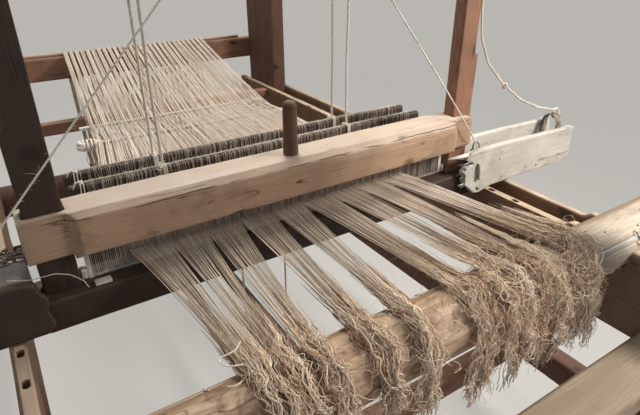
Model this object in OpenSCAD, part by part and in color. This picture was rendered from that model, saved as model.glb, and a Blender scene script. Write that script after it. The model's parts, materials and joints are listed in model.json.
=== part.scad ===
// Hand loom with two heddle shafts and a swinging batten for a thrown shuttle.
// X runs across the warp, Y from the weaver's side to the back, Z up from the floor.
// The origin is on the floor, under the middle of the loom.

/* [Frame] */
// Length of the side planks, front to back
loom_depth = 2465; // [2300:5:2700]
// Height of the four posts
post_h = 1780; // [1600:10:1950]
// Clear width between the two side frames
inner_w = 1280; // [1260:5:1400]
// Thickness of the posts across the loom
post_w = 70; // [55:1:90]
// Depth of the front posts
front_post_d = 120; // [100:5:150]
// Depth of the rear posts
rear_post_d = 280; // [220:5:300]
// Thickness of the side planks
plank_t = 26; // [20:1:32]
// Height of the side planks
plank_h = 216; // [190:2:250]
// Top edge of the side planks above the floor
plank_top = 758; // [720:1:760]
// Height of the top side rails
top_rail_h = 110; // [90:5:140]
// Radius of the wooden frame pegs
peg_r = 10; // [7:0.5:12]

/* [Batten] */
// From the front end of the planks to the front face of the hand tree
batten_from_front = 720; // [700:5:760]
// Length of the hand tree
hand_tree_l = 1200; // [1190:2:1230]
// Height of the hand tree
hand_tree_h = 95; // [80:1:110]
// Depth of the hand tree
hand_tree_d = 100; // [90:1:115]
// Underside of the hand tree above the floor
hand_tree_z = 903; // [900:1:910]
// Width of the swords across the loom
sword_w = 72; // [55:1:80]
// Thickness of the swords
sword_t = 41; // [32:1:44]
// Outer faces of the two swords, from one to the other
swords_span = 1174; // [1150:2:1180]
// Top of the race beam above the floor
race_top = 825; // [815:1:828]
// Height of the race beam
race_h = 74; // [60:1:80]
// Total length of the race beam with both shuttle boxes
race_l = 2090; // [1900:10:2150]
// Width of a shuttle box's trough
trough_w = 56; // [50:1:62]
// Thickness of the box boards
board_t = 22; // [16:1:25]
// Top edge of the front boards above the floor
board_top = 895; // [880:1:899]
// Pitch of the dents in the reed
dent_pitch = 12.5; // [10:0.5:25]
// Length of the reed
reed_l = 1000; // [900:10:1010]

/* [Shafts] */
// Length of the shaft bars
shaft_l = 1030; // [960:10:1060]
// Height of a shaft bar
bar_h = 34; // [28:1:40]
// Thickness of a shaft bar
bar_t = 22; // [16:1:26]
// From the loom's middle to the middle of the shafts, to the right
shaft_x = 30; // [0:5:40]
// Height of the warp, where the heddle eyes are
eye_z = 860; // [858:1:864]
// From the eyes to the middle of a shaft bar
heddle_h = 88; // [84:1:110]
// From the hand tree's front face to the front shaft
front_shaft_y = 215; // [212:1:240]
// From one shaft to the other
shaft_gap = 75; // [60:1:90]
// From the middle of the loom to a pulley
pulley_x = 270; // [200:5:300]

/* [Beams] */
// Radius of the cloth beam, a peeled log
log_r = 72.5; // [60:0.5:76]
// Length of the cloth beam
log_l = 1900; // [1700:10:2000]
// Axis of the cloth beam above the floor
log_z = 758; // [755:1:762]
// Radius of the warp beam
warp_beam_r = 70; // [50:1:75]
// Axis of the warp beam above the floor
warp_beam_z = 400; // [380:5:430]
// Top of the back rail above the floor
back_rail_top = 970; // [940:1:985]
// Teeth of the ratchet wheel
teeth = 12; // [12:4:24]

/* [Hidden] */
$fn = 48;
gap = 0.3;

// Colours
pale_wood = "#c9b48c";
brown_wood = "#8a6238";
dark_wood = "#4a3628";
grey_wood = "#b3a68f";
iron = "#3c3a38";
twine = "#a08e70";
yarn = "#cdbb97";

// Places along Y, all tied to the batten's front face
front_y = -loom_depth / 2;
back_y = loom_depth / 2;
batten_y = front_y + batten_from_front;
sword_y = batten_y + 35;
hinge_y = sword_y + sword_t / 2;
log_y = batten_y - 400;
shaft_y = [batten_y + front_shaft_y, batten_y + front_shaft_y + shaft_gap];
pulley_y = (shaft_y[0] + shaft_y[1]) / 2;
front_post_y = front_y + 55;
rail_d = 55;
sheet_room = 10;
rear_post_y = back_y - sheet_room - rail_d - rear_post_d;
warp_beam_y = rear_post_y + rear_post_d / 2;

// Places across the loom
inner_x = inner_w / 2;
post_x = inner_x + plank_t;
outer_x = post_x + post_w;
side_x = outer_x + plank_t;

// Tenons and pegs
tenon_t = 30;
tenon_w = 68;
pin_l = side_x - inner_x + 30;
peg_ys = [front_post_y + 28, front_post_y + front_post_d - 28,
    rear_post_y + 95, rear_post_y + rear_post_d - 40];
peg_z = plank_top - 45;

// Overhead
top_z = post_h + top_rail_h;
rocker_h = 80;
rocker_w = 60;
pin_r = 9;
hinge_z = top_z + 35;
rocker_l = 2 * (post_x - 60);
block_l = 120;
block_h = 60;
sword_top = hinge_z + rocker_h / 2 + 20;
sword_tenon_t = 26;

// Batten
sword_x = swords_span / 2 - sword_w / 2;
race_d = 100;
race_z = race_top - race_h;
floor_z = plank_top + 14;
floor_t = 23;
box_x = hand_tree_l / 2;
board_z = plank_top + 12;
rib_t = 14;
rib_h = 16;
reed_y = hinge_y;
dent_t = 0.8;
dent_d = 8;
groove_d = 8;
peg_top_r = 19;
peg_x = -12;

// Cords
cord_r = 3.5;
thin_r = 2.3;
pulley_z = top_z - 90;
pulley_r = shaft_gap / 2;

// Treadles
treadle_x = 90;
treadle_z = 158;
treadle_w = 45;
treadle_h = 35;
treadle_y = rear_post_y - 5;
treadle_front = batten_y - 250;
rod_r = 6;

// Warp
warp_t = 3;
reed_left = -410;
reed_right = 350;
rail_left = -247;
rail_right = 419;
rod_top_r = 7;
roll_r = warp_beam_r + 26;

module sided(s) {
    if (s < 0) mirror([1, 0, 0]) children();
    else children();
}

module both_sides() {
    for (s = [-1, 1]) sided(s) children();
}

// A box given by its low corner and its size.
module block(low, size) {
    translate(low) cube(size);
}

// An outline drawn in Y and Z, pushed out along X from x0 over length l.
module along_x(x0, l) {
    translate([x0, 0, 0]) rotate([90, 0, 90]) linear_extrude(l) children();
}

// An outline drawn in X and Z, pushed out along Y from y0 over length l.
module along_y(y0, l) {
    translate([0, y0 + l, 0]) rotate([90, 0, 0]) linear_extrude(l) children();
}

module rod_x(x0, l, y, z, r) {
    translate([x0, y, z]) rotate([0, 90, 0]) cylinder(r = r, h = l);
}

// Holes that the frame pegs go through, on the positive side.
module peg_holes(r) {
    for (y = peg_ys) rod_x(inner_x - 20, pin_l + 10, y, peg_z, r);
}

// Rail ends: a tenon that goes into both side frames, from x0 outwards.
module tenon(x0, l, y, z, w, t, play = 0) {
    block([x0, y - w / 2 - play, z - t / 2 - play], [l, w + 2 * play, t + 2 * play]);
}

seat_y = front_post_y + front_post_d / 2 - 8;
seat_z = 568;
seat_d = 122;
seat_t = 64;
knee_y = log_y - 5;
knee_z = plank_top - plank_h + 33;
knee_t = 50;
cross_z = post_h - 70;
foot_z = 150;
low_rail_z = 260;
lower_rail_z = plank_top - 34;
lower_rail_y = rear_post_y + 45;

module front_post() {
    difference() {
        union() {
            block([post_x, front_post_y, 0], [post_w, front_post_d, post_h]);
            block([post_x + 20, front_post_y + 25, post_h], [post_w - 40, front_post_d - 50, 60]);
        }
        peg_holes(peg_r + gap);
        tenon(post_x - 5, post_w + 10, seat_y, seat_z, tenon_w, tenon_t, gap);
        tenon(post_x - 5, 45 + gap, front_post_y + 60, cross_z, 60, tenon_t, gap);
        tenon(post_x - 5, 45 + gap, front_post_y + 60, foot_z, 60, tenon_t, gap);
        block([post_x + 20 - gap, front_post_y + front_post_d - 45, low_rail_z - 30 - gap],
            [post_w - 40 + 2 * gap, 50, 60 + 2 * gap]);
    }
}

module front_posts() {
    color(brown_wood) both_sides() front_post();
}

module rear_post() {
    difference() {
        union() {
            block([post_x, rear_post_y, 0], [post_w, rear_post_d, post_h]);
            block([post_x + 20, rear_post_y + 60, post_h], [post_w - 40, rear_post_d - 120, 60]);
        }
        peg_holes(peg_r + gap);
        rod_x(post_x - 5, post_w + 10, warp_beam_y, warp_beam_z, journal_r + gap);
        tenon(post_x - 5, 45 + gap, lower_rail_y, lower_rail_z, 40, tenon_t, gap);
        tenon(post_x - 5, 45 + gap, rear_post_y + 80, cross_z, 60, tenon_t, gap);
        tenon(post_x - 5, 45 + gap, rear_post_y + 80, foot_z, 60, tenon_t, gap);
        block([post_x + 20 - gap, rear_post_y - 5, low_rail_z - 30 - gap],
            [post_w - 40 + 2 * gap, 50, 60 + 2 * gap]);
        rod_x(outer_x - 40, 60, pawl_y, pawl_z, rod_r + 0.02);
    }
}

module rear_posts() {
    color(brown_wood) both_sides() rear_post();
}

// Outline of a side plank, with the saddle that the log lies in and the swell behind it.
module plank_outline() {
    swell = 15;
    front_swell = 12;
    difference() {
        union() {
            translate([front_y, plank_top - plank_h]) square([loom_depth, plank_h]);
            translate([log_y + log_r, 0])
                polygon([[-60, plank_top - 1], [-10, plank_top + swell], [24, plank_top + swell],
                    [46, plank_top - 1]]);
            polygon([[log_y - log_r - 50, plank_top - 1], [log_y - log_r - 28, plank_top + front_swell],
                [log_y - log_r + 6, plank_top + front_swell], [log_y, plank_top - 1]]);
        }
        translate([log_y, log_z]) circle(r = log_r + 1);
        translate([log_y, log_z + 100]) square([2 * (log_r + 1), 200], center = true);
    }
}

module plank_cuts() {
    peg_holes(peg_r + gap);
    tenon(inner_x - 5, pin_l, seat_y, seat_z, tenon_w, tenon_t, gap);
    tenon(inner_x - 5, pin_l, knee_y, knee_z, 34, tenon_t, gap);
}

module inner_planks() {
    color(pale_wood) both_sides() difference() {
        along_x(inner_x, plank_t) plank_outline();
        plank_cuts();
        tenon(inner_x - 5, plank_t + 10, lower_rail_y, lower_rail_z, 40, tenon_t, gap);
        for (y = [batten_y - 130, batten_y - 40])
            block([inner_x + 8, y, plank_top - 25], [12, 22, 40]);
    }
}

module outer_planks() {
    color(pale_wood) both_sides() difference() {
        along_x(outer_x, plank_t) plank_outline();
        plank_cuts();
    }
}

module top_rails() {
    color(brown_wood) both_sides() difference() {
        along_x(post_x, post_w) polygon([[front_y, post_h + 20], [front_y + 40, post_h],
            [back_y - 40, post_h], [back_y, post_h + 20], [back_y, top_z], [front_y, top_z]]);
        block([post_x + 20 - gap, front_post_y + 25 - gap, post_h - 5],
            [post_w - 40 + 2 * gap, front_post_d - 50 + 2 * gap, 65 + gap]);
        block([post_x + 20 - gap, rear_post_y + 60 - gap, post_h - 5],
            [post_w - 40 + 2 * gap, rear_post_d - 120 + 2 * gap, 65 + gap]);
    }
}

module low_rails() {
    y0 = front_post_y + front_post_d;
    l = rear_post_y - y0;
    color(brown_wood) both_sides() union() {
        block([post_x + 5, y0, low_rail_z - 45], [post_w - 10, l, 90]);
        block([post_x + 20, y0 - 45 + 1, low_rail_z - 30], [post_w - 40, l + 90 - 2, 60]);
    }
}

// A cross rail with short tenons into the posts.
module cross_rail(y, z, d, h, tw) {
    block([-inner_x - plank_t, y - d / 2, z - h / 2], [2 * (inner_x + plank_t), d, h]);
    for (s = [-1, 1]) sided(s) tenon(post_x - 1, 40, y, z, tw, tenon_t);
}

module top_cross_rails() {
    color(brown_wood) {
        cross_rail(front_post_y + 60, cross_z, 70, 90, 60);
        cross_rail(rear_post_y + 80, cross_z, 70, 90, 60);
    }
}

module foot_cross_rails() {
    color(dark_wood) {
        cross_rail(front_post_y + 60, foot_z, 70, 90, 60);
        cross_rail(rear_post_y + 80, foot_z, 70, 90, 60);
    }
}

module seat_beam() {
    color(grey_wood) difference() {
        union() {
            intersection() {
                block([-inner_x, seat_y - seat_d / 2, seat_z - seat_t / 2], [inner_w, seat_d, seat_t]);
                along_x(-inner_x, inner_w) translate([seat_y, seat_z]) offset_box(seat_d, seat_t, 9);
            }
            for (s = [-1, 1]) sided(s)
                tenon(inner_x - 1, side_x - inner_x + 24, seat_y, seat_z, tenon_w, tenon_t);
        }
        both_sides() block([side_x + 4, seat_y - 8, seat_z - 40], [10, 16, 80]);
    }
}

// A box outline with its corners cut off, about the middle.
module offset_box(w, h, c) {
    polygon([[-w / 2 + c, -h / 2], [w / 2 - c, -h / 2], [w / 2, -h / 2 + c], [w / 2, h / 2 - c],
        [w / 2 - c, h / 2], [-w / 2 + c, h / 2], [-w / 2, h / 2 - c], [-w / 2, -h / 2 + c]]);
}

module knee_bar() {
    color(brown_wood) {
        along_x(-inner_x, inner_w) translate([knee_y, knee_z + 8]) offset_box(knee_t, knee_t, 7);
        for (s = [-1, 1]) sided(s)
            tenon(inner_x - 1, side_x - inner_x + 14, knee_y, knee_z, 34, tenon_t);
    }
}

back_rail_h = 100;
back_rail_y = rear_post_y + rear_post_d;

module back_rail() {
    color(brown_wood) along_x(-outer_x, 2 * outer_x) polygon([
        [back_rail_y, back_rail_top - back_rail_h],
        [back_rail_y + rail_d - 6, back_rail_top - back_rail_h],
        [back_rail_y + rail_d, back_rail_top - back_rail_h + 8],
        [back_rail_y + rail_d, back_rail_top - 10],
        [back_rail_y + rail_d - 10, back_rail_top],
        [back_rail_y, back_rail_top]]);
}

rod_y = back_rail_y + rail_d / 2;
rod_z = back_rail_top + rod_top_r + 0.2;

module back_rod() {
    color(pale_wood) rod_x(-inner_x + 60, inner_w - 80, rod_y, rod_z, rod_top_r);
}

module lower_back_rail() {
    color(brown_wood) {
        block([-inner_x, lower_rail_y - 22, lower_rail_z - 26], [inner_w, 45, 52]);
        for (s = [-1, 1]) sided(s)
            tenon(inner_x - 1, plank_t + 40, lower_rail_y, lower_rail_z, 40, tenon_t);
    }
}

pulley_bar_h = 70;
pulley_bar_d = 60;

module pulley_bar() {
    color(brown_wood)
        block([-outer_x, pulley_y - pulley_bar_d / 2, top_z], [2 * outer_x, pulley_bar_d, pulley_bar_h]);
}

cheek_t = 10;
cheek_gap = 20;

module cheek(x) {
    difference() {
        along_x(x, cheek_t) union() {
            translate([pulley_y - 20, pulley_z]) square([40, top_z - pulley_z]);
            translate([pulley_y, pulley_z]) circle(r = 20);
        }
        rod_x(x - 5, cheek_t + 10, pulley_y, pulley_z, axle_r + 0.02);
    }
}

module pulley_blocks() {
    color(dark_wood) for (s = [-1, 1]) {
        cheek(s * pulley_x - cheek_gap / 2 - cheek_t);
        cheek(s * pulley_x + cheek_gap / 2);
    }
}

axle_r = 5;
pawl_dy = -125;
pawl_dz = 62;
pawl_y = warp_beam_y + pawl_dy;
pawl_z = warp_beam_z + pawl_dz;
wheel_t = 24;
wheel_x = outer_x + 6;

// The two pulley axles and the bolt that the pawl turns on.
module iron_axles() {
    color(iron) {
        for (s = [-1, 1])
            rod_x(s * pulley_x - 25, 50, pulley_y, pulley_z, axle_r);
        rod_x(outer_x - 38, wheel_x + wheel_t + 3 - outer_x + 38, pawl_y, pawl_z, rod_r);
        rod_x(wheel_x + wheel_t + 1, 5, pawl_y, pawl_z, 12);
    }
}

module rocker_blocks() {
    x = post_x + 5;
    color(dark_wood) both_sides() difference() {
        along_x(x, post_w - 10) polygon([[hinge_y - block_l / 2, top_z], [hinge_y + block_l / 2, top_z],
            [hinge_y + block_l / 2, top_z + 25], [hinge_y + 32, top_z + block_h],
            [hinge_y - 32, top_z + block_h], [hinge_y - block_l / 2, top_z + 25]]);
        rod_x(x - 5, post_w, hinge_y, hinge_z, pin_r + gap);
        block([x - 5, hinge_y - pin_r - gap, hinge_z], [post_w, 2 * (pin_r + gap), 80]);
    }
}

module frame_pegs() {
    color(pale_wood) both_sides() for (y = peg_ys) rod_x(inner_x - 8, pin_l - 16, y, peg_z, peg_r);
}

rim_r = pulley_r + 5;

module pulley(s) {
    color(brown_wood) translate([s * pulley_x, pulley_y, pulley_z]) rotate([0, 90, 0])
        rotate_extrude($fn = 64) difference() {
            translate([axle_r + gap, -8]) square([rim_r - axle_r - gap, 16]);
            translate([pulley_r + 0.5, 0]) circle(r = cord_r + 0.8, $fn = 32);
            translate([pulley_r + 0.5, -cord_r - 0.8]) square([20, 2 * cord_r + 1.6]);
        }
}

module pulley_left() {
    pulley(-1);
}

module pulley_right() {
    pulley(1);
}

module rocker_beam() {
    color(dark_wood) difference() {
        block([-rocker_l / 2, hinge_y - rocker_w / 2, hinge_z - rocker_h / 2],
            [rocker_l, rocker_w, rocker_h]);
        both_sides() block([sword_x - sword_w / 2 - gap, hinge_y - sword_tenon_t / 2 - gap, hinge_z - 60],
            [sword_w + 2 * gap, sword_tenon_t + 2 * gap, 120]);
        both_sides() rod_x(rocker_l / 2 - 14, 30, hinge_y, hinge_z, pin_r + 0.02);
    }
}

module rocker_pins() {
    color(iron) both_sides() rod_x(rocker_l / 2 - 14, outer_x - 5 - rocker_l / 2 + 14, hinge_y, hinge_z, pin_r);
}

module sword() {
    color(brown_wood) difference() {
        union() {
            block([sword_x - sword_w / 2, sword_y, race_z], [sword_w, sword_t,
                hinge_z - rocker_h / 2 - race_z]);
            block([sword_x - sword_w / 2, hinge_y - sword_tenon_t / 2, hinge_z - rocker_h / 2 - 1],
                [sword_w, sword_tenon_t, sword_top - hinge_z + rocker_h / 2 + 1]);
        }
        block([sword_x + sword_w / 2 - 12, sword_y - 1, hand_tree_z + hand_tree_h + 170],
            [20, sword_t / 2, 380]);
    }
}

module sword_left() {
    sided(-1) sword();
}

module sword_right() {
    sword();
}

// Outline of the hand tree from above: the front is cut back at both ends.
module hand_tree_plan() {
    half = hand_tree_l / 2;
    front_half = half - 100;
    for (s = [0, 1]) mirror([s, 0]) {
        polygon([[-1, 0], [front_half, 0], [front_half + 22, 20], [half - 30, 20],
            [half - 30, hand_tree_d], [-1, hand_tree_d]]);
        translate([half - 30, 20]) square([30, 22]);
        translate([half - 30, 42]) square([30, hand_tree_d - 72]);
        translate([half - 30, hand_tree_d - 30]) circle(r = 30);
    }
}

module hand_tree() {
    color(brown_wood) difference() {
        intersection() {
            translate([0, batten_y, hand_tree_z - 10]) linear_extrude(hand_tree_h + 20) hand_tree_plan();
            along_x(-hand_tree_l / 2 - 1, hand_tree_l + 2) translate([batten_y, hand_tree_z])
                polygon([[0, 3], [3, 0], [hand_tree_d - 4, 0], [hand_tree_d, 4],
                    [hand_tree_d, hand_tree_h - 12], [hand_tree_d - 12, hand_tree_h],
                    [15, hand_tree_h], [0, hand_tree_h - 14]]);
        }
        both_sides() block([sword_x - sword_w / 2 - gap, sword_y - gap, hand_tree_z - 20],
            [sword_w + 2 * gap, sword_t + 2 * gap, hand_tree_h + 40]);
        block([-reed_l / 2 - 2, reed_y - rib_t / 2 - gap, hand_tree_z - 10],
            [reed_l + 4, rib_t + 2 * gap, 10 + groove_d + gap]);
        translate([peg_x, batten_y + 45, hand_tree_z + hand_tree_h - 45]) cylinder(r = 11.3, h = 60);
    }
}

module hand_peg() {
    z = hand_tree_z + hand_tree_h;
    color(brown_wood) translate([peg_x, batten_y + 45, z]) {
        rotate_extrude($fn = 64) polygon([[0, 0], [peg_top_r, 0], [peg_top_r - 1.5, 60],
            [peg_top_r - 2, 118], [peg_top_r - 6, 125], [peg_top_r - 12, 128], [0, 129]]);
        translate([0, 0, -44]) cylinder(r = 11, h = 45);
    }
}

module race_beam() {
    color(dark_wood) difference() {
        union() {
            block([-box_x, batten_y, race_z], [2 * box_x, race_d, race_h]);
            block([-race_l / 2, batten_y, floor_z], [race_l, trough_w, floor_t]);
        }
        both_sides() block([sword_x - sword_w / 2 - gap, sword_y - gap, race_z - 5],
            [sword_w + 2 * gap, sword_t + 2 * gap, race_h + 10]);
        block([-reed_l / 2 - 2, reed_y - rib_t / 2 - gap, race_top - groove_d - gap],
            [reed_l + 4, rib_t + 2 * gap, 20]);
    }
}

// The reed: two ribs, two end plates and the flat dents between them.
module reed() {
    z0 = race_top - groove_d;
    z1 = hand_tree_z + groove_d;
    count = floor((reed_l / 2 - 12) / dent_pitch);
    color(grey_wood) {
        block([-reed_l / 2, reed_y - rib_t / 2, z0], [reed_l, rib_t, rib_h]);
        block([-reed_l / 2, reed_y - rib_t / 2, z1 - rib_h], [reed_l, rib_t, rib_h]);
        for (s = [-1, 1]) sided(s)
            block([reed_l / 2 - 10, reed_y - rib_t / 2, z0 + 1], [10, rib_t, z1 - z0 - 2]);
        for (i = [-count : count]) block([i * dent_pitch - dent_t / 2, reed_y - dent_d / 2, z0 + 2],
            [dent_t, dent_d, z1 - z0 - 4]);
    }
}

// Wedges beside the reed's ends, and the blocks that close the shuttle boxes.
module small_blocks() {
    room = sword_x - sword_w / 2 - reed_l / 2;
    color(grey_wood) {
        for (s = [-1, 1]) sided(s) {
            block([reed_l / 2 + gap, reed_y - 10, race_top], [room - 2 * gap, 20, 24]);
            block([race_l / 2 - 40, batten_y + gap, floor_z + floor_t], [30, trough_w - 2 * gap, 55]);
        }
        block([-reed_l / 2 - room + gap, reed_y - 10, hand_tree_z - 26], [room - 2 * gap, 20, 18]);
        block([-reed_l / 2 + 5, batten_y + 6, race_top], [34, 22, 7]);
    }
}

// Front board of a shuttle box, outline in X and Z. The right one's inner end has rotted away.
module box_front_left() {
    x1 = race_l / 2;
    color(dark_wood) along_y(batten_y - board_t, board_t) mirror([1, 0]) polygon([
        [box_x - 20, board_z + 18], [box_x - 4, board_z], [x1 - 4, board_z],
        [x1 - 40, board_top], [box_x + 30, board_top], [box_x - 2, board_top - 6],
        [box_x - 8, board_top - 30], [box_x - 20, board_top - 48], [box_x - 14, board_z + 50]]);
}

module box_front_right() {
    x1 = race_l / 2;
    color(grey_wood) difference() {
        along_y(batten_y - board_t, board_t) polygon([
            [box_x - 18, board_z + 16], [box_x - 2, board_z], [x1, board_z], [x1 - 42, board_top - 10],
            [box_x + 80, board_top], [box_x + 24, board_top - 2], [box_x + 14, board_top - 22],
            [box_x + 20, board_top - 36], [box_x - 8, board_top - 48], [box_x - 46, board_top - 54],
            [box_x - 8, board_top - 66], [box_x - 28, board_top - 82], [box_x - 6, board_z + 30]]);
        translate([box_x + 14, batten_y + 5, board_z + 12]) rotate([90, 0, 0]) cylinder(r = 5, h = 60);
    }
}

module box_backs() {
    x1 = race_l / 2;
    color(grey_wood) both_sides() along_y(batten_y + trough_w, board_t) polygon([
        [box_x, board_z + 2], [x1 - 2, board_z + 2], [x1 - 30, board_top + 6],
        [box_x + 40, board_top + 12], [box_x, board_top]]);
}

picker_l = 36;
picker_h = 52;
picker_right_x = box_x + 26;
picker_left_x = -750;

// A picker: a leather-faced block with a slot for its cord.
module picker(x) {
    w = trough_w - 10;
    z = floor_z + floor_t + 0.5;
    color(dark_wood) difference() {
        translate([x, batten_y + trough_w / 2, z]) intersection() {
            translate([-picker_l / 2, -w / 2, 0]) cube([picker_l, w, picker_h]);
            rotate([90, 0, 0]) translate([0, 0, -w]) linear_extrude(2 * w)
                offset_box_at(picker_l, picker_h, 7);
        }
        translate([x, batten_y + trough_w / 2, z + picker_h - 16]) rotate([0, 90, 0])
            cylinder(r = 4, h = 60, center = true);
    }
}

module offset_box_at(w, h, c) {
    translate([0, h / 2]) offset_box(w, h, c);
}

module picker_left() {
    picker(picker_left_x);
}

module picker_right() {
    picker(picker_right_x);
}

// Rings of a tube along a route of points, with its two ends closed.
function unit(v) = v / norm(v);
function heading(p, i) = unit(p[min(i + 1, len(p) - 1)] - p[max(i - 1, 0)]);
function across(d) = unit(cross(d, abs(d[1]) > 0.9 ? [1, 0, 0] : [0, 1, 0]));
function ring(p, i, r, n) = let (d = heading(p, i), a = across(d), b = cross(d, a))
    [for (k = [0 : n - 1]) p[i] + r * (cos(360 * k / n) * a + sin(360 * k / n) * b)];

module tube(points, r, n = 8) {
    m = len(points);
    rings = [for (i = [0 : m - 1]) each ring(points, i, r, n)];
    sides = [for (i = [0 : m - 2], k = [0 : n - 1])
        [i * n + k, i * n + (k + 1) % n, (i + 1) * n + (k + 1) % n, (i + 1) * n + k]];
    polyhedron(rings, concat([[for (k = [n - 1 : -1 : 0]) k]], sides,
        [[for (k = [0 : n - 1]) (m - 1) * n + k]]));
}

// Cord points are from the hand tree's front face in Y and from the floor in Z.
function on_batten(points) = [for (p = points) [p[0], p[1] + batten_y, p[2]]];

module picker_cord_left() {
    color(twine) tube(on_batten([[-750, 28, 852], [-740, 20, 880], [-700, 8, 920], [-600, 8, 1025],
        [-450, 18, 1180], [-225, 34, 1410], [-7.6, 50, 1632]]), thin_r);
}

module picker_cord_right() {
    color(twine) tube(on_batten([[626, 28, 852], [622, 16, 872], [606, 6, 896], [560, 3, 950],
        [500, 5, 1026], [400, 16, 1150], [200, 34, 1394], [9, 50, 1628]]), thin_r);
}

module pull_cord() {
    color(twine) translate([0, batten_y + 50, 0]) {
        translate([0, 0, 1628]) cylinder(r = 6, h = 16);
        translate([0, 0, 1644]) cylinder(r = thin_r, h = hinge_z - rocker_h / 2 - 1644.2);
    }
}

module pull_handle() {
    color(brown_wood) translate([0, batten_y + 50, 1500]) rotate_extrude($fn = 64)
        polygon([[0, 0], [9, 0], [14, 6], [15, 20], [12, 45], [13, 75], [16, 100], [14, 114],
            [8, 120], [7, 127.7], [0, 127.7]]);
}

module stay_cord() {
    color(twine) tube(on_batten([[591, 55, 1480], [592, 55, 1380], [598, 55, 1280], [612, 54, 1200],
        [650, 52, 1130], [724, 48, 1060], [812, 42, 1000], [904, 36, 960], [984, 30, 940],
        [1002, 28, 942]]), cord_r);
}

// A leather strap that arches over the outer end of the right box.
module end_strap() {
    x = race_l / 2 - 76;
    w = 30;
    r = trough_w / 2;
    color(dark_wood) translate([x, batten_y + r, board_top + 6]) rotate([90, 0, 90])
        linear_extrude(w) difference() {
            union() {
                circle(r = r - 0.3);
                translate([-r + 0.3, -42]) square([2 * r - 0.6, 42]);
            }
            circle(r = r - 3.5);
            translate([-r + 3.5, -43]) square([2 * r - 7, 44]);
        }
}

// Two bars of one heddle shaft, an upper and a lower one.
module shaft_bars(i) {
    color(dark_wood) for (s = [-1, 1])
        along_x(shaft_x - shaft_l / 2, shaft_l) translate([shaft_y[i], eye_z + s * heddle_h])
            offset_box(bar_t, bar_h, 5);
}

module shaft_bars_front() {
    shaft_bars(0);
}

module shaft_bars_back() {
    shaft_bars(1);
}

// The string heddles between the bars, with the window that the warp goes through.
module heddles(i) {
    z = heddle_h - bar_h / 2 - gap;
    half = shaft_l / 2 - 40;
    t = 4;
    color(twine) difference() {
        block([shaft_x - half, shaft_y[i] - t / 2, eye_z - z], [2 * half, t, 2 * z]);
        block([reed_left + 10, shaft_y[i] - t, eye_z - 9], [reed_right - reed_left + 10, 2 * t, 18]);
    }
}

module heddles_front() {
    heddles(0);
}

module heddles_back() {
    heddles(1);
}

// Cords that hang both shafts over the two pulleys.
module heddle_cords() {
    z0 = eye_z + heddle_h + bar_h / 2 + gap;
    color(twine) for (s = [-1, 1]) translate([s * pulley_x, pulley_y, 0]) {
        for (side = [-1, 1]) translate([0, side * pulley_r, z0])
            cylinder(r = cord_r, h = pulley_z - z0, $fn = 16);
        translate([0, 0, pulley_z]) rotate([90, 0, 90]) rotate_extrude(angle = 180, $fn = 64)
            translate([pulley_r, 0]) circle(r = cord_r, $fn = 16);
    }
}

module tie_cord(i, x) {
    z0 = treadle_z + treadle_h / 2 + gap;
    z1 = eye_z - heddle_h - bar_h / 2 - gap;
    color(twine) translate([x, shaft_y[i], z0]) cylinder(r = cord_r, h = z1 - z0, $fn = 16);
}

module tie_cord_front() {
    tie_cord(0, -treadle_x);
}

module tie_cord_back() {
    tie_cord(1, treadle_x);
}

module treadle(x) {
    color(brown_wood) difference() {
        along_x(x - treadle_w / 2, treadle_w) union() {
            translate([treadle_front, treadle_z - treadle_h / 2])
                square([treadle_y - treadle_front, treadle_h]);
            translate([treadle_y, treadle_z]) circle(r = treadle_h / 2);
        }
        rod_x(x - 60, 120, treadle_y, treadle_z, rod_r + gap);
        block([x - treadle_w, treadle_front - 1, treadle_z - treadle_h], [2 * treadle_w, 160, 25]);
    }
}

module treadle_left() {
    treadle(-treadle_x);
}

module treadle_right() {
    treadle(treadle_x);
}

// Three cheeks on the rear foot rail that hold the treadle rod.
module treadle_bracket() {
    y1 = rear_post_y + 80 - 35;
    y0 = treadle_y - 16;
    color(dark_wood) for (x = [-150, 0, 150]) difference() {
        block([x - 12, y0, treadle_z - 22], [24, y1 - y0, 44]);
        rod_x(x - 20, 40, treadle_y, treadle_z, rod_r + 0.02);
    }
}

module treadle_rod() {
    color(iron) rod_x(-175, 350, treadle_y, treadle_z, rod_r);
}

journal_r = 30;
square_w = 36;

module warp_beam() {
    l = 2 * post_x - 16;
    color(brown_wood) {
        rod_x(-l / 2, l, warp_beam_y, warp_beam_z, warp_beam_r);
        rod_x(-outer_x - 20, 2 * outer_x + 22, warp_beam_y, warp_beam_z, journal_r);
        block([outer_x, warp_beam_y - square_w / 2, warp_beam_z - square_w / 2],
            [wheel_x + wheel_t + 14 - outer_x, square_w, square_w]);
    }
}

module warp_roll() {
    x0 = rail_left - 8;
    color(yarn) difference() {
        rod_x(x0, rail_right + 8 - x0, warp_beam_y, warp_beam_z, roll_r);
        rod_x(x0 - 5, rail_right - x0 + 20, warp_beam_y, warp_beam_z, warp_beam_r + 0.2);
    }
}

wheel_r = 85;
root_r = 68;

// Saw teeth: each has one radial face, which the pawl holds against.
module ratchet_wheel() {
    step = 360 / teeth;
    color(dark_wood) difference() {
        along_x(wheel_x, wheel_t) translate([warp_beam_y, warp_beam_z])
            polygon([for (k = [0 : teeth - 1], r = [wheel_r, root_r])
                r * [cos(90 + k * step), sin(90 + k * step)]]);
        block([wheel_x - 5, warp_beam_y - square_w / 2 - gap, warp_beam_z - square_w / 2 - gap],
            [wheel_t + 10, square_w + 2 * gap, square_w + 2 * gap]);
    }
}

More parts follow.
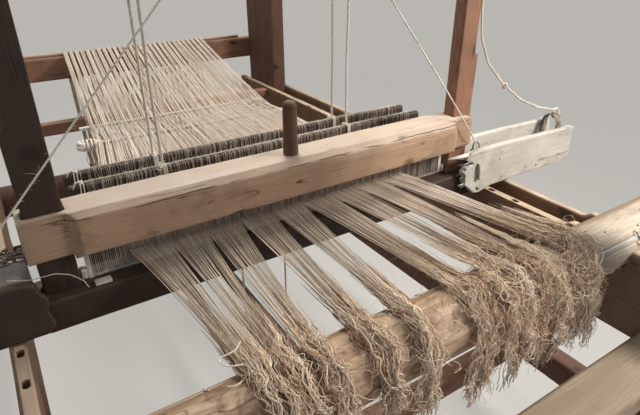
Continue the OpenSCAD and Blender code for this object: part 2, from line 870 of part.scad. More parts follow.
module pawl() {
    color(iron) difference() {
        union() {
            rod_x(wheel_x + 4, wheel_t - 8, pawl_y, pawl_z, 14);
            along_x(wheel_x + 4, wheel_t - 8) translate([warp_beam_y, warp_beam_z])
                polygon([[pawl_dy, pawl_dz + 14], [-80, 100], [-30, 108], [-0.8, 102],
                    [-0.8, root_r + 1], [-12, root_r + 8], [-14, wheel_r + 6], [-50, wheel_r + 3],
                    [-85, 74], [pawl_dy + 8, pawl_dz - 11]]);
        }
        rod_x(wheel_x - 10, wheel_t + 20, pawl_y, pawl_z, rod_r + gap);
    }
}

lath_w = 14;
lath_t = 9;
lath_turn = 150;
slot_x = 250;
slot_l = log_l / 2 - 60 - slot_x;
lever_x = log_l / 2 - 60;

// A slot along the log, at an angle about its axis from +Y towards +Z.
module log_slot(x0, l, turn, w, t) {
    translate([0, log_y, log_z]) rotate([turn, 0, 0]) block([x0, log_r - t, -w / 2], [l, t + 5, w]);
}

// The cloth beam, a peeled log with a long slot at the front and lever holes at one end.
module cloth_log() {
    color(pale_wood) difference() {
        rod_x(-log_l / 2, log_l, log_y, log_z, log_r, $fn = 96);
        log_slot(slot_x, slot_l, lath_turn, lath_w + 2 * gap, lath_t + gap);
        for (turn = [20, 110]) translate([lever_x - turn / 3, log_y, log_z]) rotate([turn, 0, 0])
            cylinder(r = 15, h = 200, center = true);
    }
}

module log_lath() {
    color(grey_wood) intersection() {
        translate([0, log_y, log_z]) rotate([lath_turn, 0, 0])
            block([slot_x + 1, log_r - lath_t, -lath_w / 2], [slot_l - 2, lath_t + 5, lath_w]);
        rod_x(-log_l / 2, log_l, log_y, log_z, log_r - 0.2, $fn = 96);
    }
}

// A band of even thickness along a route in Y and Z.
function turn_left(v) = [-v[1], v[0]];
function way(p, i) = let (v = p[min(i + 1, len(p) - 1)] - p[max(i - 1, 0)]) v / norm(v);
function side_line(p, s) = [for (i = [0 : len(p) - 1]) p[i] + s * turn_left(way(p, i))];
function turned(p) = [for (i = [len(p) - 1 : -1 : 0]) p[i]];

module band(p, t) {
    polygon(concat(side_line(p, t / 2), turned(side_line(p, -t / 2))));
}

lease_ys = [batten_y + 980, batten_y + 800];
lease_zs = [846, 848];
sheet_front = reed_y - 30;

// The warp from the roll behind the back rail, over its rod and on through the reed.
module warp_sheet() {
    half = warp_t / 2;
    roll_y = warp_beam_y + roll_r + 0.4 + half;
    behind_y = back_rail_y + rail_d + 0.4 + half;
    over_z = rod_z + rod_top_r + 0.4 + half;
    span = [[sheet_front, eye_z], [shaft_y[1] + 30, eye_z], [lease_ys[1], lease_zs[1] + half + 5],
        [lease_ys[0], lease_zs[0] - half - 5], [rod_y, over_z], [rod_y + 16, over_z - 3]];
    drop = [[rod_y + 16, over_z - 3], [behind_y - 2, back_rail_top + 2], [behind_y, back_rail_top - 12],
        [behind_y, back_rail_top - back_rail_h + 2], [roll_y, warp_beam_z + 20]];
    color(yarn) difference() {
        union() {
            intersection() {
                along_x(reed_left, rail_right - reed_left) band(span, warp_t);
                linear_extrude(1200) polygon([[reed_left, sheet_front - 10], [reed_left, reed_y + 10],
                    [rail_left, rod_y + 20], [rail_right, rod_y + 20], [reed_right, reed_y + 10],
                    [reed_right, sheet_front - 10]]);
            }
            along_x(rail_left, rail_right - rail_left) band(drop, warp_t);
        }
        for (i = [ceil(reed_left / dent_pitch) : floor(reed_right / dent_pitch)])
            block([i * dent_pitch - dent_t / 2 - gap, reed_y - dent_d / 2 - gap, eye_z - 10],
                [dent_t + 2 * gap, dent_d + 2 * gap, 20]);
    }
}

bouts = 9;
bout_w = 34;
bout_t = 12;
fell_left = -330;
fell_right = 470;
fringe_low = 560;

// Side view of a bout: from the reed over the log and down its front.
module bout_outline() {
    r0 = log_r + 1.5;
    difference() {
        union() {
            band([[sheet_front - 0.3, eye_z], [log_y, log_z + r0 + bout_t / 2]], bout_t);
            translate([log_y, log_z]) circle(r = r0 + bout_t);
            translate([log_y - r0 - bout_t - 6, fringe_low]) square([bout_t + 12, log_z - fringe_low]);
        }
        translate([log_y, log_z]) circle(r = r0);
        translate([log_y, log_z - 300]) square([600, 300]);
        translate([log_y - r0, fringe_low - 5]) square([500, log_z - fringe_low + 5]);
        translate([log_y + 42, log_z - 10]) square([60, 64]);
    }
}

// The warp ends in bouts, each narrowing from the reed to where it crosses the log.
module warp_bouts() {
    reed_step = (reed_right - reed_left) / bouts;
    fell_step = (fell_right - fell_left) / (bouts - 1);
    color(yarn) for (k = [0 : bouts - 1]) {
        x0 = reed_left + k * reed_step;
        xf = fell_left + k * fell_step;
        intersection() {
            along_x(reed_left - 100, fell_right - reed_left + 300) bout_outline();
            translate([0, 0, fringe_low - 10]) linear_extrude(500) polygon([
                [x0 + 2, sheet_front + 5], [x0 + reed_step - 2, sheet_front + 5],
                [xf + bout_w / 2, log_y + 30], [xf + bout_w / 2, log_y - 200],
                [xf - bout_w / 2, log_y - 200], [xf - bout_w / 2, log_y + 30]]);
        }
    }
}

module lease_sticks() {
    w = 18;
    sheet_z = lease_zs[0] - 5;
    rise = (rod_z + rod_top_r - sheet_z) / (rod_y - lease_ys[0]);
    color(grey_wood) {
        block([-340, lease_ys[0] - w / 2, sheet_z + rise * w / 2 + 0.4], [720, w, 8]);
        rod_x(-370, 760, lease_ys[1], lease_zs[1] - 1.8, 6);
    }
}

front_posts();
rear_posts();
inner_planks();
outer_planks();
top_rails();
low_rails();
top_cross_rails();
foot_cross_rails();
seat_beam();
knee_bar();
back_rail();
back_rod();
lower_back_rail();
pulley_bar();
pulley_blocks();
iron_axles();
rocker_blocks();
frame_pegs();
pulley_left();
pulley_right();
rocker_beam();
rocker_pins();
sword_left();
sword_right();
hand_tree();
hand_peg();
race_beam();
reed();
small_blocks();
box_front_left();
box_front_right();
box_backs();
picker_left();
picker_right();
picker_cord_left();
picker_cord_right();
pull_cord();
pull_handle();
stay_cord();
end_strap();
shaft_bars_front();
shaft_bars_back();
heddles_front();
heddles_back();
heddle_cords();
tie_cord_front();
tie_cord_back();
treadle_left();
treadle_right();
treadle_bracket();
treadle_rod();
warp_beam();
warp_roll();
ratchet_wheel();
pawl();
cloth_log();
log_lath();
warp_sheet();
warp_bouts();
lease_sticks();
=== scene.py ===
# A hand loom: two heddle shafts, a swinging batten and a log for a cloth beam.
# Metres. X runs across the warp, Y from the weaver's side to the back, Z up from the floor.
import json
import math
import random
from functools import partial

import bpy
import numpy as np
from mathutils import Matrix, Vector

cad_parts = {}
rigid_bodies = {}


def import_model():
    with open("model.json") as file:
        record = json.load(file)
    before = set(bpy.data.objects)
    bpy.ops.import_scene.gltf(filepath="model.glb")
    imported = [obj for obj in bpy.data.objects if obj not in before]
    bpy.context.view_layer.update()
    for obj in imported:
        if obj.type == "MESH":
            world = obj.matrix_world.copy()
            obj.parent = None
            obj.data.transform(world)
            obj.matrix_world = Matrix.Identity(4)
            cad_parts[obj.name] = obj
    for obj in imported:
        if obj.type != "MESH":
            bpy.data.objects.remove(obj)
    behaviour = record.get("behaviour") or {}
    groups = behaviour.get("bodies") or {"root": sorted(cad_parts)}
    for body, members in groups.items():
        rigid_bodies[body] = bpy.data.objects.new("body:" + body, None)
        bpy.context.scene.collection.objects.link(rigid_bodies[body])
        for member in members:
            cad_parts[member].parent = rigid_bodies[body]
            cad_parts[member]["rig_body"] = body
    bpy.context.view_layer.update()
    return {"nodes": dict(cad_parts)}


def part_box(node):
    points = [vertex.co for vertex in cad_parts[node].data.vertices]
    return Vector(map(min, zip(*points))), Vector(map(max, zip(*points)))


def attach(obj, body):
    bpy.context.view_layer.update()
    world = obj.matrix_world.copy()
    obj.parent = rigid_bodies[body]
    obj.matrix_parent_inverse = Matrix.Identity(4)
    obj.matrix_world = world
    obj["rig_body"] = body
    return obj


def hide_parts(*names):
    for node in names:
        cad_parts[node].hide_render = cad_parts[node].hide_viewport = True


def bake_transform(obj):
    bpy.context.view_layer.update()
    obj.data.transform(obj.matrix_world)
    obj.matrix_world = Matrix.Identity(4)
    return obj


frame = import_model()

nodes = frame["nodes"]
scene = bpy.context.scene
chance = random.Random(11)
rng = np.random.default_rng(11)

MM = 0.001

# Places on the loom, from the CAD model.
TREE_Y = -0.5125
REED_Y = -0.457
REED_X = (-0.41, 0.35)
EYE_Z = 0.860
SHAFT_Y = (-0.2975, -0.2225)
LOG_Y, LOG_Z, LOG_R = -0.9125, 0.758, 0.0725
RAIL_X = (-0.247, 0.419)
ROD_Y, ROD_TOP = 1.195, 0.9842
RAIL_BACK_Y = 1.2225
LEASE = ((0.2875, 0.8462), (0.4675, 0.8473))
ROLL_Y, ROLL_Z, ROLL_R = 1.0275, 0.400, 0.096
PULLEY_X, PULLEY_Y, PULLEY_Z, PULLEY_R = 0.270, -0.260, 1.800, 0.0375
BOX_FACE_Y = -0.5345
BAR_HALF = 0.017        # half the height of a heddle shaft's bar
THREADS = 306
BOUTS = 9


# Camera and studio

def set_camera():
    view = bpy.data.cameras.new("view")
    view.lens = 29.306
    view.sensor_width = 36
    view.clip_start = 0.01
    camera = bpy.data.objects.new("view", view)
    scene.collection.objects.link(camera)
    axes = Matrix(((0.83989, -0.54275, -0.00179), (0.25379, 0.38982, 0.88523),
                   (-0.47976, -0.74395, 0.46516))).transposed()
    camera.matrix_world = Matrix.Translation((-0.58, -1.4755, 1.459)) @ axes.to_4x4()
    scene.camera = camera


def linear(code):
    """An sRGB hex colour as the linear colour that a shader takes."""
    parts = [int(code[i:i + 2], 16) / 255 for i in (1, 3, 5)]
    return tuple(c / 12.92 if c <= 0.04045 else ((c + 0.055) / 1.055) ** 2.4 for c in parts) + (1.0,)


def add_node(tree, kind, settings=(), links=()):
    """Adds a node with its settings and its links. A setting may be a hex colour. A ramp's stops are places
    with a hex colour or a shade of grey. A link from a node takes its first output in use."""
    node = tree.nodes.new("ShaderNode" + kind)
    for key, value in dict(settings).items():
        if key == "stops":
            ramp = node.color_ramp.elements
            while len(ramp) < len(value):
                ramp.new(0.5)
            for stop, (at, colour) in zip(ramp, value):
                stop.position = at
                stop.color = linear(colour) if isinstance(colour, str) else (colour, colour, colour, 1.0)
        elif isinstance(key, str) and hasattr(node, key):
            setattr(node, key, value)
        else:
            hexed = isinstance(value, str) and value.startswith("#")
            node.inputs[key].default_value = linear(value) if hexed else value
    for key, source in dict(links).items():
        if isinstance(source, bpy.types.Node):
            source = next(socket for socket in source.outputs if socket.enabled)
        tree.links.new(source, node.inputs[key])
    return node


def node_adder(owner):
    """Empties a world's or a material's node tree, and gives the function that adds nodes to it."""
    owner.use_nodes = True
    owner.node_tree.nodes.clear()
    return partial(add_node, owner.node_tree)


def new_material(name):
    material = bpy.data.materials.new(name)
    return material, node_adder(material)


def studio():
    """A pale floor, a pale world and soft lamps at a plain level."""
    world = bpy.data.worlds.new("studio")
    scene.world = world
    add = node_adder(world)
    path = add("LightPath")
    seen = add("Math", {"operation": "MAXIMUM"},
               {0: path.outputs["Is Camera Ray"], 1: path.outputs["Is Glossy Ray"]})
    light = add("Background", {"Color": "#eceef2", "Strength": 0.26})
    backdrop = add("Background", {"Color": "#d6d3cd", "Strength": 1.0})
    mix = add("MixShader", (), {0: seen, 1: light, 2: backdrop})
    add("OutputWorld", (), {"Surface": mix})

    def lamp(name, place, aim, size, power, colour, spread=180):
        data = bpy.data.lights.new(name, "AREA")
        data.spread = math.radians(spread)
        data.shape = "DISK"
        data.size = size
        data.energy = power
        data.color = linear(colour)[:3]
        obj = bpy.data.objects.new(name, data)
        scene.collection.objects.link(obj)
        obj.location = place
        obj.rotation_euler = (Vector(aim) - Vector(place)).to_track_quat("-Z", "Y").to_euler()

    lamp("key", (1.9, -1.9, 2.3), (0.6, -0.6, 0.8), 0.8, 18.5, "#fff8f0", 80)
    lamp("top", (0.5, 0.9, 3.3), (0.1, 0.1, 0.8), 1.3, 33, "#fffaf2", 120)
    lamp("fill", (-2.6, -3.2, 2.0), (0.0, -0.4, 0.8), 2.2, 16, "#eef3ff")

    floor = bpy.data.meshes.new("floor")
    half, low = 40.0, -0.0005
    floor.from_pydata([(-half, -half, low), (half, -half, low), (half, half, low), (-half, half, low)],
                      [], [(0, 1, 2, 3)])
    obj = bpy.data.objects.new("floor", floor)
    scene.collection.objects.link(obj)
    material, add = new_material("painted_studio_floor")
    paint = add("BsdfPrincipled", {"Base Color": "#cfccc6", "Roughness": 0.8})
    glow = add("Emission", {"Color": "#d6d3cd", "Strength": 1.0})
    path = add("LightPath")
    share = add("Math", {"operation": "MULTIPLY", 1: 0.62}, {0: path.outputs["Is Camera Ray"]})
    both = add("MixShader", (), {0: share, 1: paint, 2: glow})
    add("OutputMaterial", (), {"Surface": both})
    floor.materials.append(material)
    scene.view_settings.view_transform = "Standard"


set_camera()
studio()


# Finishes

SQUEEZE = {"x": (0.05, 1.0, 1.0), "y": (1.0, 0.05, 1.0), "z": (1.0, 1.0, 0.05)}
BEND = {"x": (0.25, 1.0, 1.0), "y": (1.0, 0.25, 1.0), "z": (1.0, 1.0, 0.25)}
# The tree's heart lay beside the piece, so its rings run as lines along the faces.
HEART = {"x": (0.0, 0.40, -0.72), "y": (-0.52, 0.0, -0.45), "z": (-0.47, 0.42, 0.0)}

# kind: early wood, late wood, rubbed arris, dirt, dust and painted top light, crack, roughness, share of
# dust and painted top light
TIMBERS = {
    # Dry sawn softwood, brown with age on its sides and pale on top with dust, wear and painted top light.
    "sawn_pine": ("#8a6f59", "#74593f", "#cdb79f", "#4a3829", "#cdb8a0", "#2b2019", 0.8, 0.85),
    # A beam that hands have smoothed for years: even greyish tan, paler on top with dust and painted top
    # light.
    "handled_pine": ("#b2957b", "#9c7f65", "#d8c7b3", "#6a4f3b", "#d2c3b2", "#35241a", 0.5, 0.75),
    # Planed wood with an orange-brown tone.
    "planed_larch": ("#97705a", "#7e5842", "#bd967a", "#4e3424", "#b59377", "#2a1b12", 0.6, 0.4),
    # Old smoke-darkened timber of the frame.
    "smoked_oak": ("#6d4f40", "#583e31", "#8d6c58", "#33241b", "#80665a", "#1b120c", 0.66, 0.4),
    # Timber gone nearly black with age and grease; on the left sword, the race beam and the left box's front
    # board it is partly painted shade.
    "blackened_oak": ("#43342c", "#30251f", "#614c3e", "#1c1613", "#564639", "#0f0b08", 0.6, 0.35),
    # Weathered board: pale grey-cream with dark flecks.
    "weathered_board": ("#c8c3ba", "#aca59a", "#dcd7ce", "#76695b", "#cdc8bf", "#3c2f25", 0.82, 0.5),
    # Grey seat timber worn by clothes.
    "worn_seat_board": ("#a3917c", "#7f6d59", "#c2b29c", "#5c4c3c", "#ad9c86", "#2c221a", 0.66, 0.5),
}
made = {}


def timber(kind, along, seam=None):
    """Wood with its grain along one axis: growth rings 6 mm apart, fibres, knots, drying cracks, worn
    arrises, dirt in the hollows, and dust with painted top light on top. seam is the height of a long split
    near an arris."""
    key = (kind, along, seam)
    if key in made:
        return made[key]
    early, late, rubbed, dirt, dust_and_top_light, crack, rough, dust_and_light_share = TIMBERS[kind]
    material, add = new_material(f"{kind}_{along}" + ("_split" if seam else ""))
    place = add("TexCoord").outputs["Object"]
    run = add("Mapping", {"Scale": SQUEEZE[along], "Location": HEART[along]}, {"Vector": place})

    # The trunk's bends carry the rings 50 mm to and fro, so they run as flames along the faces.
    trunk = add("Mapping", {"Scale": BEND[along]}, {"Vector": place})
    sway = add("TexNoise", {"Scale": 1 / (130 * MM), "Detail": 2.0, "Roughness": 0.4}, {"Vector": trunk})
    bent = add("VectorMath", {"operation": "MULTIPLY_ADD", 1: (0.1, 0.1, 0.1)},
               {0: sway.outputs["Color"], 2: run})
    # A ring is 6 mm wide: pale early wood that turns slowly into a darker late line.
    rings = add("TexWave", {"wave_type": "RINGS", "rings_direction": along.upper(), "wave_profile": "SAW",
                            "Scale": 0.314 / (6 * MM), "Distortion": 4.0, "Detail": 4.0,
                            "Detail Scale": 0.6, "Detail Roughness": 0.62}, {"Vector": bent})
    # Fibres, drawn 1.6 mm wide so that they show at this distance.
    fibre = add("TexNoise", {"Scale": 1 / (3.2 * MM), "Detail": 4.0, "Roughness": 0.7}, {"Vector": run})
    # Clouds of tone two hands wide.
    cloud = add("TexNoise", {"Scale": 1 / (180 * MM), "Detail": 4.0, "Roughness": 0.55, "Distortion": 0.6},
                {"Vector": place})
    ringed = add("ValToRGB", {"stops": [(0.0, early), (0.5, early), (0.9, late), (1.0, early)]},
                 {"Fac": rings.outputs["Fac"]})
    # In places the rings have been rubbed and greyed away.
    shown = add("MapRange", {"From Min": 0.36, "From Max": 0.66, "To Min": 0.1, "To Max": 0.9},
                {"Value": cloud})
    wood = add("Mix", {"data_type": "RGBA", 6: early}, {0: shown, 7: ringed})
    tone = add("ValToRGB", {"stops": [(0.3, 0.74), (0.66, 1.08)]}, {"Fac": cloud})
    toned = add("Mix", {"data_type": "RGBA", "blend_type": "MULTIPLY", 0: 1.0}, {6: wood, 7: tone})
    fine = add("ValToRGB", {"stops": [(0.34, 0.84), (0.6, 1.04)]}, {"Fac": fibre})
    fibred = add("Mix", {"data_type": "RGBA", "blend_type": "MULTIPLY", 0: 0.8}, {6: toned, 7: fine})

    # A knot here and there, some 35 mm across.
    cells = add("TexVoronoi", {"Scale": 1 / (260 * MM)}, {"Vector": place})
    bumpy = add("Math", {"operation": "MULTIPLY_ADD", 1: 0.05}, {0: fibre, 2: cells})
    knots = add("ValToRGB", {"stops": [(0.075, 0.85), (0.125, 0.0)]}, {"Fac": bumpy})

    # Stains in patches.
    blotch = add("TexNoise", {"Scale": 1 / (70 * MM), "Detail": 6.0, "Roughness": 0.66}, {"Vector": place})
    soil = add("ValToRGB", {"stops": [(0.52, 0.0), (0.82, 0.7)]}, {"Fac": blotch})

    # Upward faces are made paler, partly with dust and partly as painted top light.
    geometry = add("NewGeometry")
    facing = add("SeparateXYZ", (), {0: geometry.outputs["Normal"]})
    upward = add("MapRange", {"From Min": 0.45, "From Max": 0.95, "To Max": dust_and_light_share},
                 {"Value": facing.outputs[2]})
    dust_and_light_mask = add("Math", {"operation": "MULTIPLY"}, {0: upward, 1: tone})

    edge = add("ValToRGB", {"stops": [(0.515, 0.0), (0.57, 1.0)]}, {"Fac": geometry.outputs["Pointiness"]})
    edge_share = add("Math", {"operation": "MULTIPLY"}, {0: edge, 1: fibre})
    hollow = add("ValToRGB", {"stops": [(0.43, 0.45), (0.48, 0.0)]}, {"Fac": geometry.outputs["Pointiness"]})

    # Drying cracks: thin lines where a long-drawn noise passes its middle, in some places only.
    lines = add("TexNoise", {"Scale": 1 / (34 * MM), "Detail": 2.0, "Roughness": 0.5, "Distortion": 0.3},
                {"Vector": run})
    line = add("ValToRGB", {"stops": [(0.492, 0.0), (0.498, 1.0), (0.502, 1.0), (0.508, 0.0)]},
               {"Fac": lines})
    where = add("TexNoise", {"Scale": 1 / (140 * MM), "Detail": 2.0}, {"Vector": place})
    some = add("ValToRGB", {"stops": [(0.53, 0.0), (0.6, 1.0)]}, {"Fac": where})
    cracks = add("Math", {"operation": "MULTIPLY"}, {0: line, 1: some})
    if seam:
        # The split wanders 3 mm up and down, and closes here and there.
        part = add("SeparateXYZ", (), {0: place})
        along_x = add("Mapping", {"Scale": (1.0, 0.0, 0.0)}, {"Vector": place})
        drift = add("TexNoise", {"Scale": 1 / (160 * MM), "Detail": 4.0, "Roughness": 0.6},
                    {"Vector": along_x})
        off = add("Math", {"operation": "MULTIPLY_ADD", 1: 12 * MM, 2: -6 * MM - seam}, {0: drift})
        from_split = add("Math", {"operation": "ADD"}, {0: part.outputs[2], 1: off})
        width = add("Math", {"operation": "ABSOLUTE"}, {0: from_split})
        split = add("MapRange", {"From Min": 0.5 * MM, "From Max": 1.5 * MM, "To Min": 1.0, "To Max": 0.0},
                    {"Value": width})
        gaps = add("ValToRGB", {"stops": [(0.46, 0.0), (0.54, 0.9)]}, {"Fac": where})
        open_split = add("Math", {"operation": "MULTIPLY"}, {0: split, 1: gaps})
        cracks = add("Math", {"operation": "MAXIMUM"}, {0: cracks, 1: open_split})

    # Each of these lies over the ones before it.
    colour = fibred
    for share, over in ((knots, dirt), (soil, dirt), (dust_and_light_mask, dust_and_top_light), (edge_share, rubbed), (hollow, dirt),
                        (cracks, crack)):
        colour = add("Mix", {"data_type": "RGBA", 7: over}, {0: share, 6: colour})

    relief = add("Math", {"operation": "MULTIPLY_ADD", 1: -0.35}, {0: rings.outputs["Fac"], 2: fibre})
    height = add("Math", {"operation": "MULTIPLY_ADD", 1: -2.0}, {0: cracks, 2: relief})
    bump = add("Bump", {"Strength": 0.5, "Distance": 0.9 * MM}, {"Height": height})
    gloss = add("MapRange", {"To Min": rough + 0.1, "To Max": rough - 0.12}, {"Value": fibre})
    shader = add("BsdfPrincipled", {"IOR": 1.5, "Specular IOR Level": 0.35},
                 {"Base Color": colour, "Roughness": gloss, "Normal": bump})
    add("OutputMaterial", (), {"Surface": shader})
    made[key] = material
    return material


def peeled_log():
    """The cloth beam: bare pine without bark. Cream at the right, tan with brown stains at the left."""
    material, add = new_material("peeled_pine_log")
    place = add("TexCoord").outputs["Object"]
    run = add("Mapping", {"Scale": (0.16, 1.0, 1.0)}, {"Vector": place})
    part = add("SeparateXYZ", (), {0: place})
    # The knife has left the grain in swirls 15 mm wide.
    rings = add("TexNoise", {"Scale": 1 / (30 * MM), "Detail": 5.0, "Roughness": 0.5, "Distortion": 1.8},
                {"Vector": run})
    fibre = add("TexNoise", {"Scale": 1 / (4 * MM), "Detail": 4.0}, {"Vector": run})
    stain = add("TexNoise", {"Scale": 1 / (80 * MM), "Detail": 6.0, "Roughness": 0.62, "Distortion": 1.6},
                {"Vector": place})
    cream = add("ValToRGB", {"stops": [(0.35, "#a99b86"), (0.55, "#c0b4a2"), (0.75, "#d0c6b7")]},
                {"Fac": rings})
    tan = add("ValToRGB", {"stops": [(0.3, "#9a7b60"), (0.5, "#bfa388"), (0.7, "#d2ba9e")]}, {"Fac": rings})
    side = add("MapRange", {"From Min": 0.12, "From Max": 0.5, "interpolation_type": "SMOOTHSTEP"},
               {"Value": part.outputs[0]})
    base = add("Mix", {"data_type": "RGBA"}, {0: side, 6: tan, 7: cream})
    blot = add("ValToRGB", {"stops": [(0.47, 0.0), (0.54, 0.4), (0.62, 1.0)]}, {"Fac": stain})
    left_share = add("MapRange", {"To Min": 0.72, "To Max": 0.1}, {"Value": side})
    blotted = add("Math", {"operation": "MULTIPLY"}, {0: blot, 1: left_share})
    # Brown under-bark was left in a strip along the back of the log's top.
    dy = add("Math", {"operation": "SUBTRACT", 1: LOG_Y}, {0: part.outputs[1]})
    dz = add("Math", {"operation": "SUBTRACT", 1: LOG_Z}, {0: part.outputs[2]})
    turn = add("Math", {"operation": "ARCTAN2"}, {0: dz, 1: dy})
    sway = add("Math", {"operation": "MULTIPLY_ADD", 1: 0.5}, {0: stain, 2: turn})
    round_log = add("MapRange", {"From Min": 0.2, "From Max": 3.0}, {"Value": sway})
    strip = add("ValToRGB", {"stops": [(0.1, 0.0), (0.16, 1.0), (0.44, 1.0), (0.5, 0.0)]},
                {"Fac": round_log})
    strip_share = add("Math", {"operation": "MULTIPLY", 1: 0.75}, {0: strip})
    # Knots where branches were cut, some 50 mm across.
    cells = add("TexVoronoi", {"Scale": 1 / (230 * MM)}, {"Vector": place})
    rough_rim = add("Math", {"operation": "MULTIPLY_ADD", 1: 0.12}, {0: stain, 2: cells})
    knots = add("ValToRGB", {"stops": [(0.16, 0.8), (0.24, 0.0)]}, {"Fac": rough_rim})
    fine = add("ValToRGB", {"stops": [(0.32, 0.84), (0.6, 1.03)]}, {"Fac": fibre})
    # Stains, bark and knots, each over the one before it.
    colour = base
    for share, over in ((blotted, "#654733"), (strip_share, "#93775a"), (knots, "#4b3324")):
        colour = add("Mix", {"data_type": "RGBA", 7: over}, {0: share, 6: colour})
    wood = add("Mix", {"data_type": "RGBA", "blend_type": "MULTIPLY", 0: 0.7}, {6: colour, 7: fine})
    # Drying cracks along the log.
    lines = add("TexNoise", {"Scale": 1 / (45 * MM), "Detail": 2.0, "Distortion": 0.2}, {"Vector": run})
    line = add("ValToRGB", {"stops": [(0.494, 0.0), (0.499, 1.0), (0.501, 1.0), (0.506, 0.0)]},
               {"Fac": lines})
    cracks = add("Math", {"operation": "MULTIPLY"}, {0: line, 1: left_share})
    cracked = add("Mix", {"data_type": "RGBA", 7: "#3b2a1e"}, {0: cracks, 6: wood})
    relief = add("Math", {"operation": "MULTIPLY_ADD", 1: 0.8}, {0: rings, 2: fibre})
    bump = add("Bump", {"Strength": 0.5, "Distance": 1.5 * MM}, {"Height": relief})
    shader = add("BsdfPrincipled", {"Roughness": 0.6, "IOR": 1.5, "Specular IOR Level": 0.35},
                 {"Base Color": cracked, "Normal": bump})
    add("OutputMaterial", (), {"Surface": shader})
    return material


def forged_iron():
    """Wrought iron: nearly black with brown rust in patches 15 mm wide."""
    material, add = new_material("rusted_wrought_iron")
    place = add("TexCoord").outputs["Object"]
    rust = add("TexNoise", {"Scale": 1 / (15 * MM), "Detail": 6.0, "Roughness": 0.7}, {"Vector": place})
    tint = add("ValToRGB", {"stops": [(0.38, "#2f2b28"), (0.52, "#43352b"), (0.68, "#6b4630")]},
               {"Fac": rust})
    metal = add("ValToRGB", {"stops": [(0.42, 0.9), (0.6, 0.1)]}, {"Fac": rust})
    rough = add("MapRange", {"To Min": 0.42, "To Max": 0.85}, {"Value": rust})
    bump = add("Bump", {"Strength": 0.4, "Distance": 0.5 * MM}, {"Height": rust})
    shader = add("BsdfPrincipled", (),
                 {"Base Color": tint, "Metallic": metal, "Roughness": rough, "Normal": bump})
    add("OutputMaterial", (), {"Surface": shader})
    return material


def spun(name, dark, mid, light, sheen):
    """A spun fibre. Each strand has its own shade, and slubs 20 mm long in other tones."""
    material, add = new_material(name)
    place = add("TexCoord").outputs["Object"]
    shade = add("Attribute", {"attribute_name": "shade"})
    slub = add("TexNoise", {"Scale": 1 / (20 * MM), "Detail": 5.0, "Roughness": 0.75}, {"Vector": place})
    both = add("Math", {"operation": "MULTIPLY_ADD", 1: 0.7}, {0: slub, 2: shade.outputs["Fac"]})
    scaled = add("MapRange", {"From Min": 0.2, "From Max": 1.2}, {"Value": both})
    tint = add("ValToRGB", {"stops": [(0.0, dark), (0.5, mid), (1.0, light)]}, {"Fac": scaled})
    shader = add("BsdfPrincipled", {"Roughness": 0.86, "Specular IOR Level": 0.25, "Sheen Weight": sheen,
                                    "Sheen Roughness": 0.5}, {"Base Color": tint})
    add("OutputMaterial", (), {"Surface": shader})
    return material


def leather(name, low, mid, high):
    """Old harness leather: dry, with creases 3 mm apart."""
    material, add = new_material(name)
    place = add("TexCoord").outputs["Object"]
    cells = add("TexVoronoi", {"Scale": 1 / (3 * MM), "feature": "DISTANCE_TO_EDGE"}, {"Vector": place})
    wear = add("TexNoise", {"Scale": 1 / (12 * MM), "Detail": 5.0}, {"Vector": place})
    tint = add("ValToRGB", {"stops": [(0.35, low), (0.55, mid), (0.72, high)]}, {"Fac": wear})
    bump = add("Bump", {"Strength": 0.4, "Distance": 0.4 * MM}, {"Height": cells})
    shader = add("BsdfPrincipled", {"Roughness": 0.6, "Specular IOR Level": 0.45},
                 {"Base Color": tint, "Normal": bump})
    add("OutputMaterial", (), {"Surface": shader})
    return material


IRON = forged_iron()
HARNESS = leather("dry_harness_leather", "#241b16", "#3d2e25", "#6a5646")
RAWHIDE = leather("grey_rawhide", "#4f463e", "#857a6d", "#aca192")
# Bleached by light: the warp is a warm grey-beige, its frayed ends a little browner.
LINEN = spun("unbleached_linen_warp", "#9d8973", "#cfbda8", "#efe5d8", 0.25)
FRINGE = spun("frayed_linen_ends", "#76573f", "#cfb091", "#fdebd3", 0.12)
TWINE = spun("grey_hemp_twine", "#5b4d42", "#998a7b", "#d0c4b5", 0.2)
CORD = spun("pale_hemp_cord", "#9b8e80", "#cfc4b5", "#f0e9dd", 0.25)
PEELED = peeled_log()


# Shaping of old timber

def link(piece):
    scene.collection.objects.link(piece)
    return piece


def lattice(i, j, k, seed):
    """A repeatable number from 0 to 1 for each whole-number point."""
    h = (i * 374761393 + j * 668265263 + k * 1442695041 + seed * 1274126177) & 0xFFFFFFFF
    h = ((h ^ (h >> 13)) * 1274126177) & 0xFFFFFFFF
    return ((h ^ (h >> 16)) & 0xFFFF) / 65535.0


def ripple(points, cell, seed):
    """Smooth noise from -1 to 1 at each point; cell is a bump's size along X, Y and Z."""
    q = points / np.array(cell)
    low = np.floor(q)
    t = q - low
    t = t * t * (3 - 2 * t)
    low = low.astype(np.int64)
    total = np.zeros(len(points))
    for dx in (0, 1):
        for dy in (0, 1):
            for dz in (0, 1):
                share = ((t[:, 0] if dx else 1 - t[:, 0]) * (t[:, 1] if dy else 1 - t[:, 1])
                         * (t[:, 2] if dz else 1 - t[:, 2]))
                total += share * lattice(low[:, 0] + dx, low[:, 1] + dy, low[:, 2] + dz, seed)
    return total * 2 - 1


def settle(piece):
    """Gives a piece the mesh that its modifiers make, and takes the modifiers off."""
    bpy.context.view_layer.update()
    ready = piece.evaluated_get(bpy.context.evaluated_depsgraph_get())
    mesh = bpy.data.meshes.new_from_object(ready)
    old = piece.data
    piece.modifiers.clear()
    piece.data = mesh
    bpy.data.meshes.remove(old)
    mesh.name = piece.name
    return mesh


def vectors(mesh, name):
    """The mesh's points or normals as an n x 3 array."""
    values = np.zeros(len(mesh.vertices) * 3, np.float32)
    mesh.vertices.foreach_get(name, values)
    return values.reshape(-1, 3).astype(float)


def put(piece, body, slot, *replaced):
    """Puts a piece on its body and in place of CAD nodes; slot is not used."""
    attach(piece, body)
    if replaced:
        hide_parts(*replaced)
    return piece


